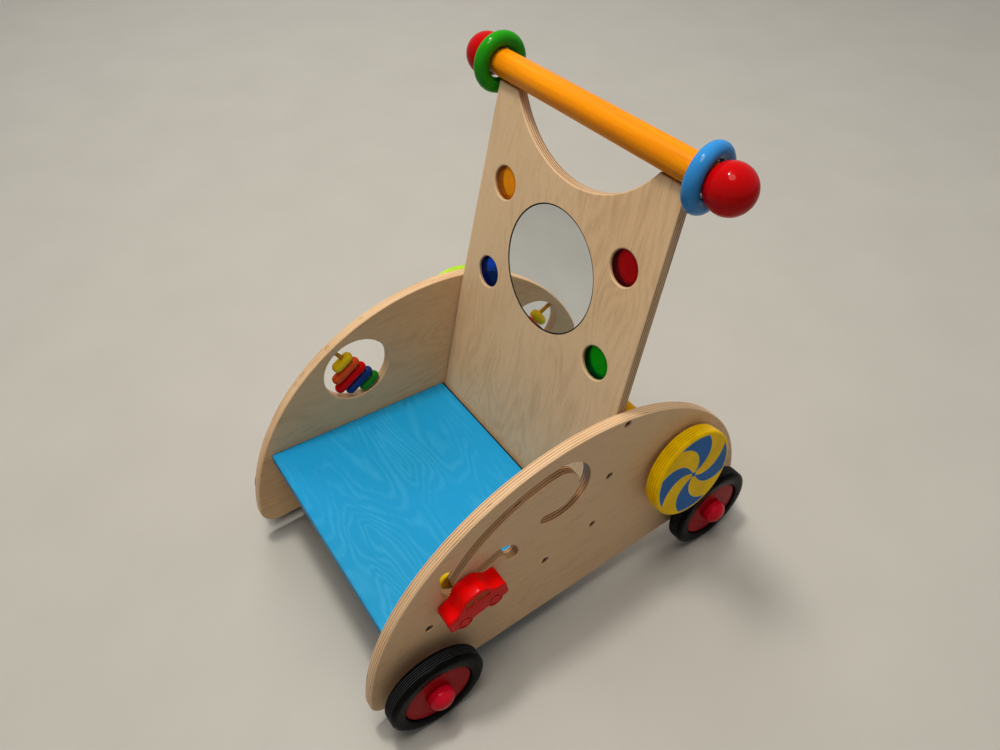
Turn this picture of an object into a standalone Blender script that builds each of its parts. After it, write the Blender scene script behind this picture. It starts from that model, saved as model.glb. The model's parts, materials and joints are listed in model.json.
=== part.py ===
"""Baby push walker with play panels: plywood body, push bar, wheels and captive play pieces.

Metres, +Z up, wheels on z = 0, front of the walker at -Y, the car track on the +X side panel.
"""
import math

import bmesh
import bpy
from mathutils import Matrix, Vector

for old in list(bpy.data.objects):
    bpy.data.objects.remove(old, do_unlink=True)

# Common
GAP = 0.0003            # clearance between pieces that touch
PLY = 0.012             # plywood thickness
EDGE = 0.0016           # rounding of plywood edges
INNER_W = 0.273         # clear width between the side panels
HALF = INNER_W / 2
OUT = HALF + PLY

# Side panels: a half disc with rounded lower corners; what sits on them follows their radius
PANEL_R = 0.255
PANEL_Z = 0.030         # lower edge above the floor
DOME_DROP = 0.003       # centre of the dome below the lower edge
DOME_Z = PANEL_Z - DOME_DROP
CORNER_R = 0.022

# Seat board and leaning back panel
SEAT_PITCH = math.radians(4.3)
SEAT_Z = 0.4816 * PANEL_R       # seat top where it meets the back panel
SEAT_Y = 0.0608 * PANEL_R       # front face of the back panel at that height
SEAT_L = 0.9176 * PANEL_R
BACK_LEAN = math.radians(14.1)
BACK_S = 0.384          # height of the back panel above the seat, along its slope
BACK_TAPER = 0.0079     # narrowing of each side towards the top
TAPER_FROM = 0.140
CUT_R = 0.1183          # round cut-out under the push bar
CUT_S = 0.4504
MIRROR_R = 0.065
MIRROR_S = 0.2394
MIRROR_T = 0.003
LENS_R = 0.0171
LENS_T = 0.008
LENS_SET = 0.0014       # lens face behind the panel face
LENS_X = 0.6689 * HALF
LENS_S = (0.1868, 0.2914)

# Push bar
BAR_R = 0.0134
KNOB_R = 0.0213
KNOB_STAND = 0.0145     # knob's centre off the side panel's outer face
KNOB_X = OUT + KNOB_STAND
TENON_R = 0.008
RING_STAND = 0.004
RING_X = HALF + RING_STAND
RING_YAW = math.radians(8.5)    # the left ring hangs askew on the bar
RING_MAJOR = 0.0225
RING_TUBE = 0.0075
PIN_R = 0.004
PIN_L = 0.030

# Wheels
TYRE_R = 0.2118 * PANEL_R
TYRE_W = 0.019
TYRE_STAND = 0.029      # outer side of the tyre off the side panel
TYRE_OUT = OUT + TYRE_STAND
TYRE_ROUND = 0.005      # shoulder between tread and side wall
TREAD_PITCH = 0.0032    # spacing of the tread grooves
TREAD_DEPTH = 0.001
TYRE_H = 0.0155         # tyre's height over the wheel
DISC_R = TYRE_R - TYRE_H
DISC_SET = 0.002        # wheel faces behind the tyre's sides
BOSS_R = 0.012          # hub that keeps the wheel off the side panel
WHEEL_Y = 0.7482 * PANEL_R
AXLE_R = 0.004
AXLE_END = 0.006        # axle past the wheel face, inside the hub cap
CAP_R = 0.014
CAP_T = 0.015
CAP_DOME = ((1.0, 0.0), (1.0, 0.35), (0.9, 0.63), (0.66, 0.84), (0.35, 0.96), (0.0, 1.0))   # of R and T

# Spinning discs
SPIN_R = 0.2129 * PANEL_R
SPIN_T = 0.0178
SPIN_EDGE = 0.003
SPIN_STAND = 0.0265     # disc's face off the side panel
SPIN_FACE_X = OUT + SPIN_STAND
SPIN_Y = 0.5549         # left disc, in panel radii from the dome's centre
SPIN_Z = {"left": 0.5086, "right": 0.7067}
SPIN_TILT = {"left": math.radians(7.2), "right": 0.0}   # the left peg leans in its loose hole
SPIN_PEG_R = 0.0042
SPIN_HOLE_R = 0.0062
SPIN_CAP_R = 0.0078
SPIN_CAP_T = 0.006
SPIN_GLUE = 0.012       # depth of the peg in the disc

# Round bar between the side panels behind the back panel
CROSS_R = 0.009
CROSS_Y = 0.3667 * PANEL_R
CROSS_Z = DOME_Z + 0.8078 * PANEL_R
CROSS_IN = 0.006

# Bead window in the far panel
WIN_Y = -0.3733 * PANEL_R
WIN_Z = DOME_Z + 0.7067 * PANEL_R
WIN_R = 0.1608 * PANEL_R
ROD_R = 0.0025
ROD_STEEP = math.radians(58.7)
BEAD_R = 0.1549 * WIN_R
BEAD_HOLE_R = 0.0031
BEAD_TOP = 0.2439 * WIN_R       # from the hole to the short end
BEAD_LOW = 0.7854 * WIN_R       # lowest bead below the window centre, along the rod
BEADS = (("green", 0.4439), ("blue", 0.7463), ("red", 0.8976),      # long ends, in window radii
         ("orange", 0.7317), ("yellow", 0.4390))

# Car track: slot of constant width along tangent arcs, with a short pocket beside its turn
SLOT_W = 0.0132
ARC_Y = -0.0333 * PANEL_R
ARC_Z = DOME_Z + 0.2039 * PANEL_R
ARC_R = 0.6961 * PANEL_R
ARC_TOP = math.radians(95.9)
ARC_LOW = math.radians(142.9)
LOOP_R = 0.1255 * PANEL_R
LOOP_END = math.radians(-118.0)
TURN_R = 0.0125
BRANCH_DIR = math.radians(24.0)
BRANCH_L = 0.040
HOOK_R = 0.014
POCKET_Y = -0.6 * PANEL_R      # centre of the pocket's round end
POCKET_Z = DOME_Z + 0.6804 * PANEL_R
POCKET_R = 0.006
POCKET_TOP = math.radians(80.0)
TRACK_STEPS = (16, 9, 8)        # of loop, arc and turn

# Car that runs in the track, resting nose down at the foot of the straight branch
CAR_T = 0.022
CAR_OFF = 0.001         # car's back off the side panel
CAR_PITCH = math.radians(10.0)
CAR_EDGE = 0.0012
CAR_L = 0.067
CAR_NOSE = 0.016        # heights above the sill
CAR_TAIL = 0.021
CAR_ROOF = 0.037
CAR_NOSE_RISE = 0.004   # from nose and tail up to the foot of the cabin
CAR_TAIL_RISE = 0.002
CAR_SILL_R = 0.004      # corner radii of the outline
CAR_TAIL_R = 0.006
CAR_NOSE_R = 0.008
CAR_ROOF_R = 0.011
CAR_CUT = 0.001         # depth of the engraved lines
CAR_WHEEL_R = 0.0095
CAR_WHEEL_U = 0.0175
CAR_WHEEL_V = 0.0033
CAR_PANES = 0.0215      # height of the window sills
PANE_TOP = 0.033
PANE_LOW_R = 0.001
PANE_TOP_R = 0.002
PEG_BACK = 0.005        # rest place of the peg before the straight begins
PEG_U = -0.0047         # peg in the car, from the middle of the sill
PEG_V = 0.0177
CAR_PEG_R = 0.0045
CAR_PEG_IN = 0.012      # depth of the peg in the car
CAR_KNOB_R = 0.0145
CAR_KNOB_T = 0.010
CAR_KNOB_SHAPE = ((0.0, 1.0), (0.66, 1.0), (0.92, 0.8), (1.0, 0.5), (0.95, 0.0))    # of R and T
KNOB_PEG_IN = 0.006

# Screws through the side panels
SCREW_R = 0.0025
SCREW_HEAD_R = 0.004
SCREW_HEAD_T = 0.004
SCREW_L = 0.032
SCREW_SINK = 0.002
SCREW_KEY_R = 0.0018
SCREW_KEY_T = 0.0025
SEAT_SCREWS = (0.2286, 0.8248)          # from the back panel, in seat lengths
BACK_SCREWS = (0.0471, 0.3255, 0.5961)  # above the seat, in panel radii along the back panel


def material(name, rgb, rough=0.5, metal=0.0, clear=0.0):
    mat = bpy.data.materials.new(name)
    mat.use_nodes = True
    bsdf = mat.node_tree.nodes["Principled BSDF"]
    bsdf.inputs["Base Color"].default_value = (*rgb, 1.0)
    bsdf.inputs["Roughness"].default_value = rough
    bsdf.inputs["Metallic"].default_value = metal
    bsdf.inputs["Transmission Weight"].default_value = clear
    return mat


def arc(cy, cz, r, a0, a1, steps):
    """Points of an arc from angle a0 to a1, both ends included."""
    angles = [a0 + (a1 - a0) * i / steps for i in range(steps + 1)]
    return [Vector((cy + r * math.cos(a), cz + r * math.sin(a))) for a in angles]


def circle(cy, cz, r, steps):
    return arc(cy, cz, r, 0.0, 2 * math.pi, steps)[:-1]


def rounded(corners, steps=4):
    """Polygon of (y, z, radius) corners with every corner turned into a tangent arc."""
    pts = []
    count = len(corners)
    for i, (y, z, r) in enumerate(corners):
        here = Vector((y, z))
        back = (Vector(corners[i - 1][:2]) - here).normalized()
        ahead = (Vector(corners[(i + 1) % count][:2]) - here).normalized()
        half = back.angle(ahead) / 2
        mid = here + (back + ahead).normalized() * (r / math.sin(half))
        start = here + back * (r / math.tan(half)) - mid
        turn = start.angle_signed(here + ahead * (r / math.tan(half)) - mid)
        for k in range(steps + 1):
            pts.append(mid + Matrix.Rotation(-turn * k / steps, 2) @ start)
    return pts


def area(loop):
    return sum(a.x * b.y - b.x * a.y for a, b in zip(loop, loop[1:] + loop[:1])) / 2


def inset(loop, d):
    """Loop moved by d to its left."""
    moved = []
    for i, p in enumerate(loop):
        a = (p - loop[i - 1]).normalized()
        b = (loop[(i + 1) % len(loop)] - p).normalized()
        n = (Vector((-a.y, a.x)) + Vector((-b.y, b.x))).normalized()
        moved.append(p + n * (d / max(0.5, n.dot(Vector((-a.y, a.x))))))
    return moved


def finish(bm, name, mat, place=None, angle=35.0):
    """Object from a bmesh, turned by place and left with its origin at place's position."""
    bmesh.ops.recalc_face_normals(bm, faces=bm.faces)
    place = place or Matrix()
    bm.transform(place.to_3x3().to_4x4())
    mesh = bpy.data.meshes.new(name)
    bm.to_mesh(mesh)
    bm.free()
    ob = bpy.data.objects.new(name, mesh)
    ob.location = place.to_translation()
    bpy.context.collection.objects.link(ob)
    mesh.materials.append(mat)
    shade(mesh, angle)
    return ob


def shade(mesh, angle=35.0):
    mesh.polygons.foreach_set("use_smooth", [True] * len(mesh.polygons))
    mesh.set_sharp_from_angle(angle=math.radians(angle))


def plate(name, mat, outline, holes, w0, w1, place, edge=EDGE):
    """Flat plate in local (u, v) between w0 and w1, with its edges taken off on both faces."""
    bm = bmesh.new()
    loops = [outline if area(outline) > 0 else outline[::-1]]
    loops += [h if area(h) < 0 else h[::-1] for h in holes]
    levels = ((edge, w0), (0.0, w0 + edge), (0.0, w1 - edge), (edge, w1))
    caps = ([], [])
    for loop in loops:
        rings = []
        for d, w in levels:
            flat = inset(loop, d) if d else loop
            rings.append([bm.verts.new((p.x, p.y, w)) for p in flat])
        n = len(loop)
        for low, high in zip(rings, rings[1:]):
            for i in range(n):
                bm.faces.new((low[i], low[(i + 1) % n], high[(i + 1) % n], high[i]))
        for cap, ring in zip(caps, (rings[0], rings[-1])):
            cap.extend(bm.edges.get((ring[i], ring[(i + 1) % n])) for i in range(n))
    for cap in caps:
        bmesh.ops.triangle_fill(bm, use_beauty=True, edges=cap)
    return finish(bm, name, mat, place)


def lathe(name, mat, profile, steps, place, closed=False, angle=35.0):
    """Revolve (r, x) points about the local X axis; r = 0 makes a pole, closed makes a ring."""
    bm = bmesh.new()
    rings = []
    for r, x in profile:
        if r == 0:
            rings.append([bm.verts.new((x, 0, 0))])
            continue
        turns = [2 * math.pi * i / steps for i in range(steps)]
        rings.append([bm.verts.new((x, r * math.cos(t), r * math.sin(t))) for t in turns])
    pairs = list(zip(rings, rings[1:]))
    if closed:
        pairs.append((rings[-1], rings[0]))
    for a, b in pairs:
        for i in range(steps):
            j = (i + 1) % steps
            if len(a) == 1:
                bm.faces.new((a[0], b[i], b[j]))
            elif len(b) == 1:
                bm.faces.new((a[i], a[j], b[0]))
            else:
                bm.faces.new((a[i], a[j], b[j], b[i]))
    return finish(bm, name, mat, place, angle)


def cut(ob, tools):
    """Take the tool pieces out of ob for good."""
    for tool in tools:
        tool.hide_render = True
        tool.display_type = "WIRE"
        mod = ob.modifiers.new("cut", "BOOLEAN")
        mod.operation = "DIFFERENCE"
        mod.solver = "EXACT"
        mod.object = tool
    graph = bpy.context.evaluated_depsgraph_get()
    graph.update()
    mesh = bpy.data.meshes.new_from_object(ob.evaluated_get(graph))
    ob.modifiers.clear()
    mesh.name = ob.name
    ob.data = mesh
    shade(mesh)
    for tool in tools:
        bpy.data.objects.remove(tool, do_unlink=True)


def at(x, y, z):
    return Matrix.Translation((x, y, z))


def aimed(where, direction):
    """Local +X turned to a direction, from a point."""
    turn = Vector((1, 0, 0)).rotation_difference(Vector(direction))
    return Matrix.Translation(where) @ turn.to_matrix().to_4x4()


def pin(name, mat, r, x0, x1, steps, place):
    """Plain round bar from x0 to x1 on the local X axis."""
    return lathe(name, mat, ((0, x0), (r, x0), (r, x1), (0, x1)), steps, place)


def drill(start, along, r, length, steps=12):
    """Cutter: a round bar from start, along a direction."""
    return pin("tool", STEEL, r, 0.0, length, steps, aimed(start, along))


def side(x):
    """Plate axes (u, v, w) on world (y, z, x)."""
    return Matrix(((0, 0, 1, x), (1, 0, 0, 0), (0, 1, 0, 0), (0, 0, 0, 1)))


def facing(sx):
    """Local +X turned to world +X or -X."""
    return Matrix.Rotation(0.0 if sx > 0 else math.pi, 4, "Z")


PLYWOOD = material("birch_plywood", (0.72, 0.53, 0.34), 0.55)
BLUE_STAIN = material("blue_stained_plywood", (0.05, 0.38, 0.62), 0.5)
ORANGE_STAIN = material("orange_stained_beech", (0.75, 0.25, 0.06), 0.45)
RED = material("red_lacquer", (0.65, 0.02, 0.02), 0.25)
DARK_RED = material("wheel_red", (0.42, 0.02, 0.02), 0.4)
BLUE = material("blue_lacquer", (0.03, 0.25, 0.6), 0.25)
SKY = material("sky_lacquer", (0.05, 0.42, 0.75), 0.25)
GREEN = material("green_lacquer", (0.02, 0.4, 0.1), 0.25)
LIME = material("lime_lacquer", (0.35, 0.6, 0.04), 0.3)
YELLOW = material("yellow_lacquer", (0.9, 0.62, 0.03), 0.3)
ORANGE = material("orange_lacquer", (0.85, 0.3, 0.03), 0.3)
AMBER = material("amber_stained_beech", (0.8, 0.48, 0.08), 0.45)
RUBBER = material("black_rubber", (0.02, 0.02, 0.02), 0.8)
STEEL = material("steel", (0.55, 0.55, 0.56), 0.35, 1.0)
BLACK_STEEL = material("black_steel", (0.05, 0.05, 0.05), 0.45, 1.0)
MIRROR = material("mirror", (0.9, 0.9, 0.92), 0.03, 1.0)
BEAD_PAINT = {"green": GREEN, "blue": BLUE, "red": RED, "orange": ORANGE, "yellow": YELLOW}

# Back panel axes: x, up the slope, out of the front face
SLOPE = Vector((0, math.sin(BACK_LEAN), math.cos(BACK_LEAN)))
FRONT = Vector((0, -math.cos(BACK_LEAN), math.sin(BACK_LEAN)))
FOOT = Vector((0, SEAT_Y, SEAT_Z))
BACK = Matrix(((1, 0, 0, 0), (0, SLOPE.y, FRONT.y, FOOT.y), (0, SLOPE.z, FRONT.z, FOOT.z), (0, 0, 0, 1)))

# Seat axes: x, down the slope to the rear, up out of the top
REAR = Vector((0, math.cos(SEAT_PITCH), -math.sin(SEAT_PITCH)))
TOP = Vector((0, math.sin(SEAT_PITCH), math.cos(SEAT_PITCH)))
SEAT = Matrix(((1, 0, 0, 0), (0, REAR.y, TOP.y, FOOT.y), (0, REAR.z, TOP.z, FOOT.z), (0, 0, 0, 1)))


def on_back(x, s, w=0.0):
    return FOOT + Vector((x, 0, 0)) + SLOPE * s + FRONT * w


def on_seat(v, w=0.0):
    return FOOT - REAR * v + TOP * w


def car_track():
    """Outline of the slot along its arc, loop, turn, straight branch and hook, and the peg's place."""
    join = Vector((ARC_Y, ARC_Z)) + (ARC_R - LOOP_R) * Vector((math.cos(ARC_TOP), math.sin(ARC_TOP)))
    loop_steps, arc_steps, turn_steps = TRACK_STEPS
    line = arc(join.x, join.y, LOOP_R, LOOP_END, ARC_TOP, loop_steps)
    line += arc(ARC_Y, ARC_Z, ARC_R, ARC_TOP, ARC_LOW, arc_steps)[1:]
    low = len(line)
    mid = Vector((ARC_Y, ARC_Z)) + (ARC_R - TURN_R) * Vector((math.cos(ARC_LOW), math.sin(ARC_LOW)))
    turn = arc(mid.x, mid.y, TURN_R, ARC_LOW, BRANCH_DIR + 1.5 * math.pi, turn_steps)[1:]
    line += turn
    heading = Vector((math.cos(BRANCH_DIR), math.sin(BRANCH_DIR)))
    crest = turn[-1] + heading * BRANCH_L
    hub = crest + Vector((heading.y, -heading.x)) * HOOK_R
    line.append(crest)
    line += arc(hub.x, hub.y, HOOK_R, BRANCH_DIR + math.pi / 2, 0.0, 6)[1:]
    left = []
    right = []
    for i, p in enumerate(line):
        step = (line[min(i + 1, len(line) - 1)] - line[max(i - 1, 0)]).normalized()
        n = Vector((-step.y, step.x)) * (SLOT_W / 2)
        left.append(p + n)
        right.append(p - n)
    # The pocket widens the outer side at the arc's foot
    right[low - 1:low + 1] = arc(POCKET_Y, POCKET_Z, POCKET_R, POCKET_TOP, math.pi, 6)
    ends = []
    for tip, edge in ((line[-1], left[-1]), (line[0], right[0])):
        a = math.atan2(edge.y - tip.y, edge.x - tip.x)
        ends.append(arc(tip.x, tip.y, SLOT_W / 2, a, a - math.pi, 6)[1:-1])
    return left + ends[0] + right[::-1] + ends[1], turn[-1] - heading * PEG_BACK


def dome():
    """Side panel outline: half disc with its two lower corners rounded."""
    rise = DOME_DROP + CORNER_R
    reach = math.sqrt((PANEL_R - CORNER_R) ** 2 - rise ** 2)
    a = math.atan2(rise, reach)
    pts = arc(0, DOME_Z, PANEL_R, a, math.pi - a, 32)
    pts += arc(-reach, PANEL_Z + CORNER_R, CORNER_R, math.pi - a, 1.5 * math.pi, 5)[1:]
    pts += arc(reach, PANEL_Z + CORNER_R, CORNER_R, -math.pi / 2, a, 5)[:-1]
    return pts


def screw_points():
    pts = [on_seat(share * SEAT_L, -PLY / 2) for share in SEAT_SCREWS]
    return pts + [on_back(0, share * PANEL_R, -PLY / 2) for share in BACK_SCREWS]


def spin_at(tag):
    """Centre of a spinning disc; the right one's inner cap stands just behind the back panel."""
    z = DOME_Z + SPIN_Z[tag] * PANEL_R
    behind = SEAT_Y + (z - SEAT_Z) * math.tan(BACK_LEAN) + (PLY + SPIN_CAP_R + GAP) / math.cos(BACK_LEAN)
    return (behind if tag == "right" else SPIN_Y * PANEL_R), z


TRACK, PEG_AT = car_track()
AXLES = (("front", -WHEEL_Y), ("rear", WHEEL_Y))
SIDES = (("left", 1), ("right", -1))


# Bead rod: steep line through the window in the middle of the right panel
ROD_WAY = Vector((0, math.cos(ROD_STEEP), -math.sin(ROD_STEEP)))
ROD_MID = Vector((-HALF - PLY / 2, WIN_Y, WIN_Z))
from_dome = Vector((0, WIN_Y, WIN_Z - DOME_Z))
across = from_dome.dot(ROD_WAY)
rim = -across - math.sqrt(across ** 2 - from_dome.length_squared + PANEL_R ** 2)
foot = WIN_R + PLY
pin("bead_rod", AMBER, ROD_R, rim + EDGE, foot - GAP, 12, aimed(ROD_MID, ROD_WAY))

# Side panels
for tag, sx in SIDES:
    y, z = spin_at(tag)
    drop = (SPIN_FACE_X - OUT + PLY / 2) * math.tan(SPIN_TILT[tag])
    holes = [circle(wheel_y, TYRE_R, AXLE_R + GAP, 10) for _, wheel_y in AXLES]
    holes.append(circle(y, z - drop, SPIN_HOLE_R, 14))
    holes.append(TRACK if sx > 0 else circle(WIN_Y, WIN_Z, WIN_R, 32))
    w0 = HALF if sx > 0 else -OUT
    panel = plate(tag + "_side_panel", PLYWOOD, dome(), holes, w0, w0 + PLY, side(0))
    tools = [drill((sx * (HALF - PLY), CROSS_Y, CROSS_Z), (sx, 0, 0), CROSS_R + GAP, PLY + CROSS_IN, 16)]
    for p in screw_points():
        seat_x = OUT - SCREW_SINK - SCREW_HEAD_T - GAP
        prof = ((0, HALF - PLY), (SCREW_R + GAP, HALF - PLY), (SCREW_R + GAP, seat_x),
                (SCREW_HEAD_R + GAP, seat_x), (SCREW_HEAD_R + GAP, OUT + PLY), (0, OUT + PLY))
        tools.append(lathe("tool", STEEL, prof, 8, at(0, p.y, p.z) @ facing(sx)))
    if sx < 0:
        tools.append(drill(ROD_MID + ROD_WAY * (rim - PLY), ROD_WAY, ROD_R + GAP, foot + PLY - rim))
    cut(panel, tools)

# Seat board
wide = HALF - GAP
rear = -GAP - max(0.0, PLY * math.tan(BACK_LEAN - SEAT_PITCH))   # its square edge clears the leaning panel
board = [Vector(p) for p in ((-wide, -SEAT_L), (wide, -SEAT_L), (wide, rear), (-wide, rear))]
seat = plate("seat_board", BLUE_STAIN, board, [], -PLY, 0, SEAT)

# Back panel with the cut-out under the bar, lens holes and mirror recess
narrow = wide - BACK_TAPER
lip = math.sqrt(CUT_R ** 2 - (CUT_S - BACK_S) ** 2)
sunk = math.asin((CUT_S - BACK_S) / CUT_R)
right_half = [Vector((wide, -PLY)), Vector((wide, TAPER_FROM))]
right_half += [Vector((narrow, BACK_S - EDGE)), Vector((narrow - EDGE, BACK_S))]
left_half = [Vector((-p.x, p.y)) for p in reversed(right_half)]
shape = right_half + arc(0, CUT_S, CUT_R, -sunk, sunk - math.pi, 20) + left_half
lens_at = [(x, s) for s in LENS_S for x in (-LENS_X, LENS_X)]
lens_holes = [circle(x, s, LENS_R + GAP, 20) for x, s in lens_at]
back = plate("back_panel", PLYWOOD, shape, lens_holes, -PLY, 0, BACK)
horn_x = (lip + narrow) / 2
back_tools = [drill(on_back(0, MIRROR_S, -MIRROR_T - GAP), FRONT, MIRROR_R + GAP, PLY, 40)]
for _, sx in SIDES:
    start = on_back(sx * horn_x, BACK_S - PIN_L / 2 - GAP, -PLY / 2)
    back_tools.append(drill(start, SLOPE, PIN_R + GAP, PIN_L, 8))

# Screws, and their holes in the edges of seat and back panel
seat_tools = []
for tag, sx in SIDES:
    for i, p in enumerate(screw_points()):
        head = OUT - SCREW_SINK
        neck = head - SCREW_HEAD_T
        tip = head - SCREW_L
        key = head - SCREW_KEY_T
        prof = ((0, key), (SCREW_KEY_R, key), (SCREW_KEY_R, head), (SCREW_HEAD_R, head),
                (SCREW_HEAD_R, neck), (SCREW_R, neck), (SCREW_R, tip), (0, tip))
        lathe("%s_screw_%d" % (tag, i + 1), BLACK_STEEL, prof, 6, at(0, p.y, p.z) @ facing(sx))
        hole = drill((sx * (tip - GAP), p.y, p.z), (sx, 0, 0), SCREW_R + GAP, SCREW_L, 8)
        (seat_tools if i < len(SEAT_SCREWS) else back_tools).append(hole)
cut(seat, seat_tools)
cut(back, back_tools)

# Mirror and lenses
pin("mirror", MIRROR, MIRROR_R, -MIRROR_T, -GAP, 40, aimed(on_back(0, MIRROR_S), FRONT))
tints = (("blue", (0.02, 0.12, 0.6)), ("green", (0.02, 0.45, 0.1)),
         ("orange", (0.95, 0.35, 0.02)), ("red", (0.7, 0.01, 0.02)))
for (tint, rgb), (x, s) in zip(tints, lens_at):
    acrylic = material(tint + "_acrylic", rgb, 0.08, 0.0, 0.7)
    pin("lens_" + tint, acrylic, LENS_R, -LENS_SET - LENS_T, -LENS_SET, 20, aimed(on_back(x, s), FRONT))

# Push bar on the two horns, with pins, loose rings and end knobs
bar_at = on_back(0, BACK_S + BAR_R + GAP, -PLY / 2)
flat = KNOB_X - math.sqrt(KNOB_R ** 2 - BAR_R ** 2)
prof = ((0, -KNOB_X), (TENON_R, -KNOB_X), (TENON_R, -flat), (BAR_R, -flat),
        (BAR_R, flat), (TENON_R, flat), (TENON_R, KNOB_X), (0, KNOB_X))
bar = lathe("push_bar", ORANGE_STAIN, prof, 20, at(*bar_at))
bar_tools = []
for tag, sx in SIDES:
    put = aimed(on_back(sx * horn_x, BACK_S, -PLY / 2), SLOPE)
    pin(tag + "_bar_pin", AMBER, PIN_R, -PIN_L / 2, PIN_L / 2, 8, put)
    start = on_back(sx * horn_x, BACK_S - BAR_R, -PLY / 2)
    bar_tools.append(drill(start, SLOPE, PIN_R + GAP, PIN_L / 2 + BAR_R + GAP, 8))
    bore = TENON_R + GAP
    mouth = math.pi - math.asin(BAR_R / KNOB_R)
    turns = [mouth * (1 - i / 8) for i in range(8)]
    prof = [(0, GAP), (bore, GAP), (bore, flat - KNOB_X + GAP), (BAR_R - GAP, flat - KNOB_X + GAP)]
    prof += [(KNOB_R * math.sin(t), KNOB_R * math.cos(t)) for t in turns[1:]] + [(0, KNOB_R)]
    lathe(tag + "_bar_knob", RED, prof, 16, at(sx * KNOB_X, bar_at.y, bar_at.z) @ facing(sx))
    hang = RING_MAJOR - RING_TUBE - BAR_R - GAP
    turns = [2 * math.pi * i / 8 for i in range(8)]
    prof = [(RING_MAJOR + RING_TUBE * math.cos(t), RING_TUBE * math.sin(t)) for t in turns]
    yaw = RING_YAW if sx > 0 else 0.0
    put = at(sx * RING_X, bar_at.y, bar_at.z - hang) @ Matrix.Rotation(yaw, 4, "Z")
    lathe(tag + "_bar_ring", SKY if sx > 0 else GREEN, prof, 20, put, closed=True, angle=60.0)
cut(bar, bar_tools)

# Axles, wheels, tyres and hub caps
half = TYRE_W / 2
wheel_x = TYRE_OUT - half
face = half - DISC_SET
bore = AXLE_R + GAP
boss_end = OUT + 2 * GAP - wheel_x
rim_r = DISC_R - GAP
lip_w = DISC_SET * 0.75
wheel_shape = ((bore, boss_end), (BOSS_R, boss_end), (BOSS_R, -face), (rim_r, -face),
               (rim_r, face - lip_w), (rim_r - lip_w, face), (bore, face))
tread = [(TYRE_R, -1.5 * TREAD_PITCH)]
for g in (-1, 0, 1):
    tread += [(TYRE_R - TREAD_DEPTH, g * TREAD_PITCH), (TYRE_R, (g + 0.5) * TREAD_PITCH)]
wall = [(TYRE_R - TYRE_ROUND, half), (DISC_R + lip_w, half), (DISC_R, half - lip_w)]
tyre_shape = [(DISC_R, -half), (TYRE_R - TYRE_ROUND, -half)] + tread + wall
cap_shape = [(0, AXLE_END + GAP), (bore, AXLE_END + GAP), (bore, 0)]
cap_shape += [(CAP_R * r, CAP_T * x) for r, x in CAP_DOME]
for end, y in AXLES:
    span = wheel_x + face + AXLE_END
    pin(end + "_axle", STEEL, AXLE_R, -span, span, 10, at(0, y, TYRE_R))
    for tag, sx in SIDES:
        name = "%s_%s_" % (end, tag)
        put = at(sx * wheel_x, y, TYRE_R) @ facing(sx)
        lathe(name + "wheel", DARK_RED, wheel_shape, 24, put, closed=True)
        lathe(name + "tyre", RUBBER, tyre_shape, 24, put, closed=True, angle=50.0)
        lathe(name + "hub_cap", RED, cap_shape, 10, put @ at(face + GAP, 0, 0))

# Spinning discs, each glued to a peg that turns in the side panel and is held by an inner cap
bore = SPIN_PEG_R + GAP
edge = SPIN_EDGE * 0.3
back_half = ((SPIN_R - SPIN_EDGE, -SPIN_T), (SPIN_R - edge, edge - SPIN_T), (SPIN_R, SPIN_EDGE - SPIN_T))
front_half = ((SPIN_R, -SPIN_EDGE), (SPIN_R - edge, -edge), (SPIN_R - SPIN_EDGE, 0), (0, 0))
deep = SPIN_GLUE - SPIN_T
disc_shape = ((0, deep), (bore, deep), (bore, -SPIN_T)) + back_half + front_half
for tag, sx in SIDES:
    y, z = spin_at(tag)
    tilt = SPIN_TILT[tag]
    put = at(sx * SPIN_FACE_X, y, z) @ facing(sx) @ Matrix.Rotation(-tilt, 4, "Y")
    lathe(tag + "_spin_disc", YELLOW if sx > 0 else LIME, disc_shape, 28, put)
    reach = (SPIN_FACE_X - HALF) / math.cos(tilt) + SPIN_CAP_R * math.tan(tilt) + 2 * GAP
    tip = -reach - SPIN_CAP_T * 0.6
    pin(tag + "_spin_peg", AMBER, SPIN_PEG_R, tip + GAP, deep - GAP, 12, put)
    low = -reach - SPIN_CAP_T
    cap_edge = SPIN_CAP_T / 4
    prof = ((0, low), (SPIN_CAP_R - cap_edge, low), (SPIN_CAP_R, low + cap_edge), (SPIN_CAP_R, -reach),
            (bore, -reach), (bore, tip), (0, tip))
    lathe(tag + "_spin_cap", AMBER, prof, 14, put)

# Round bar between the side panels
span = HALF + CROSS_IN - GAP
pin("rear_cross_bar", AMBER, CROSS_R, -span, span, 16, at(0, CROSS_Y, CROSS_Z))

# Swinging beads: rounded sticks drilled crosswise near one end, threaded on the rod and hanging from it
hang = Vector((0, ROD_WAY.z, -ROD_WAY.y))
for i, (paint, share) in enumerate(BEADS):
    tail = share * WIN_R
    where = ROD_MID + ROD_WAY * (BEAD_LOW - i * (2 * BEAD_R + GAP))
    turns = [math.pi / 2 * k / 3 for k in range(1, 4)]
    prof = [(0, -BEAD_TOP)] + [(BEAD_R * math.sin(t), BEAD_R * (1 - math.cos(t)) - BEAD_TOP) for t in turns]
    prof += [(BEAD_R * math.sin(t), tail - BEAD_R * (1 - math.cos(t))) for t in reversed(turns)]
    prof.append((0, tail))
    bead = lathe("bead_" + paint, BEAD_PAINT[paint], prof, 10, aimed(where, hang))
    cut(bead, [drill(where - ROD_WAY * 2 * BEAD_R, ROD_WAY, BEAD_HOLE_R, 4 * BEAD_R, 8)])

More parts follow.
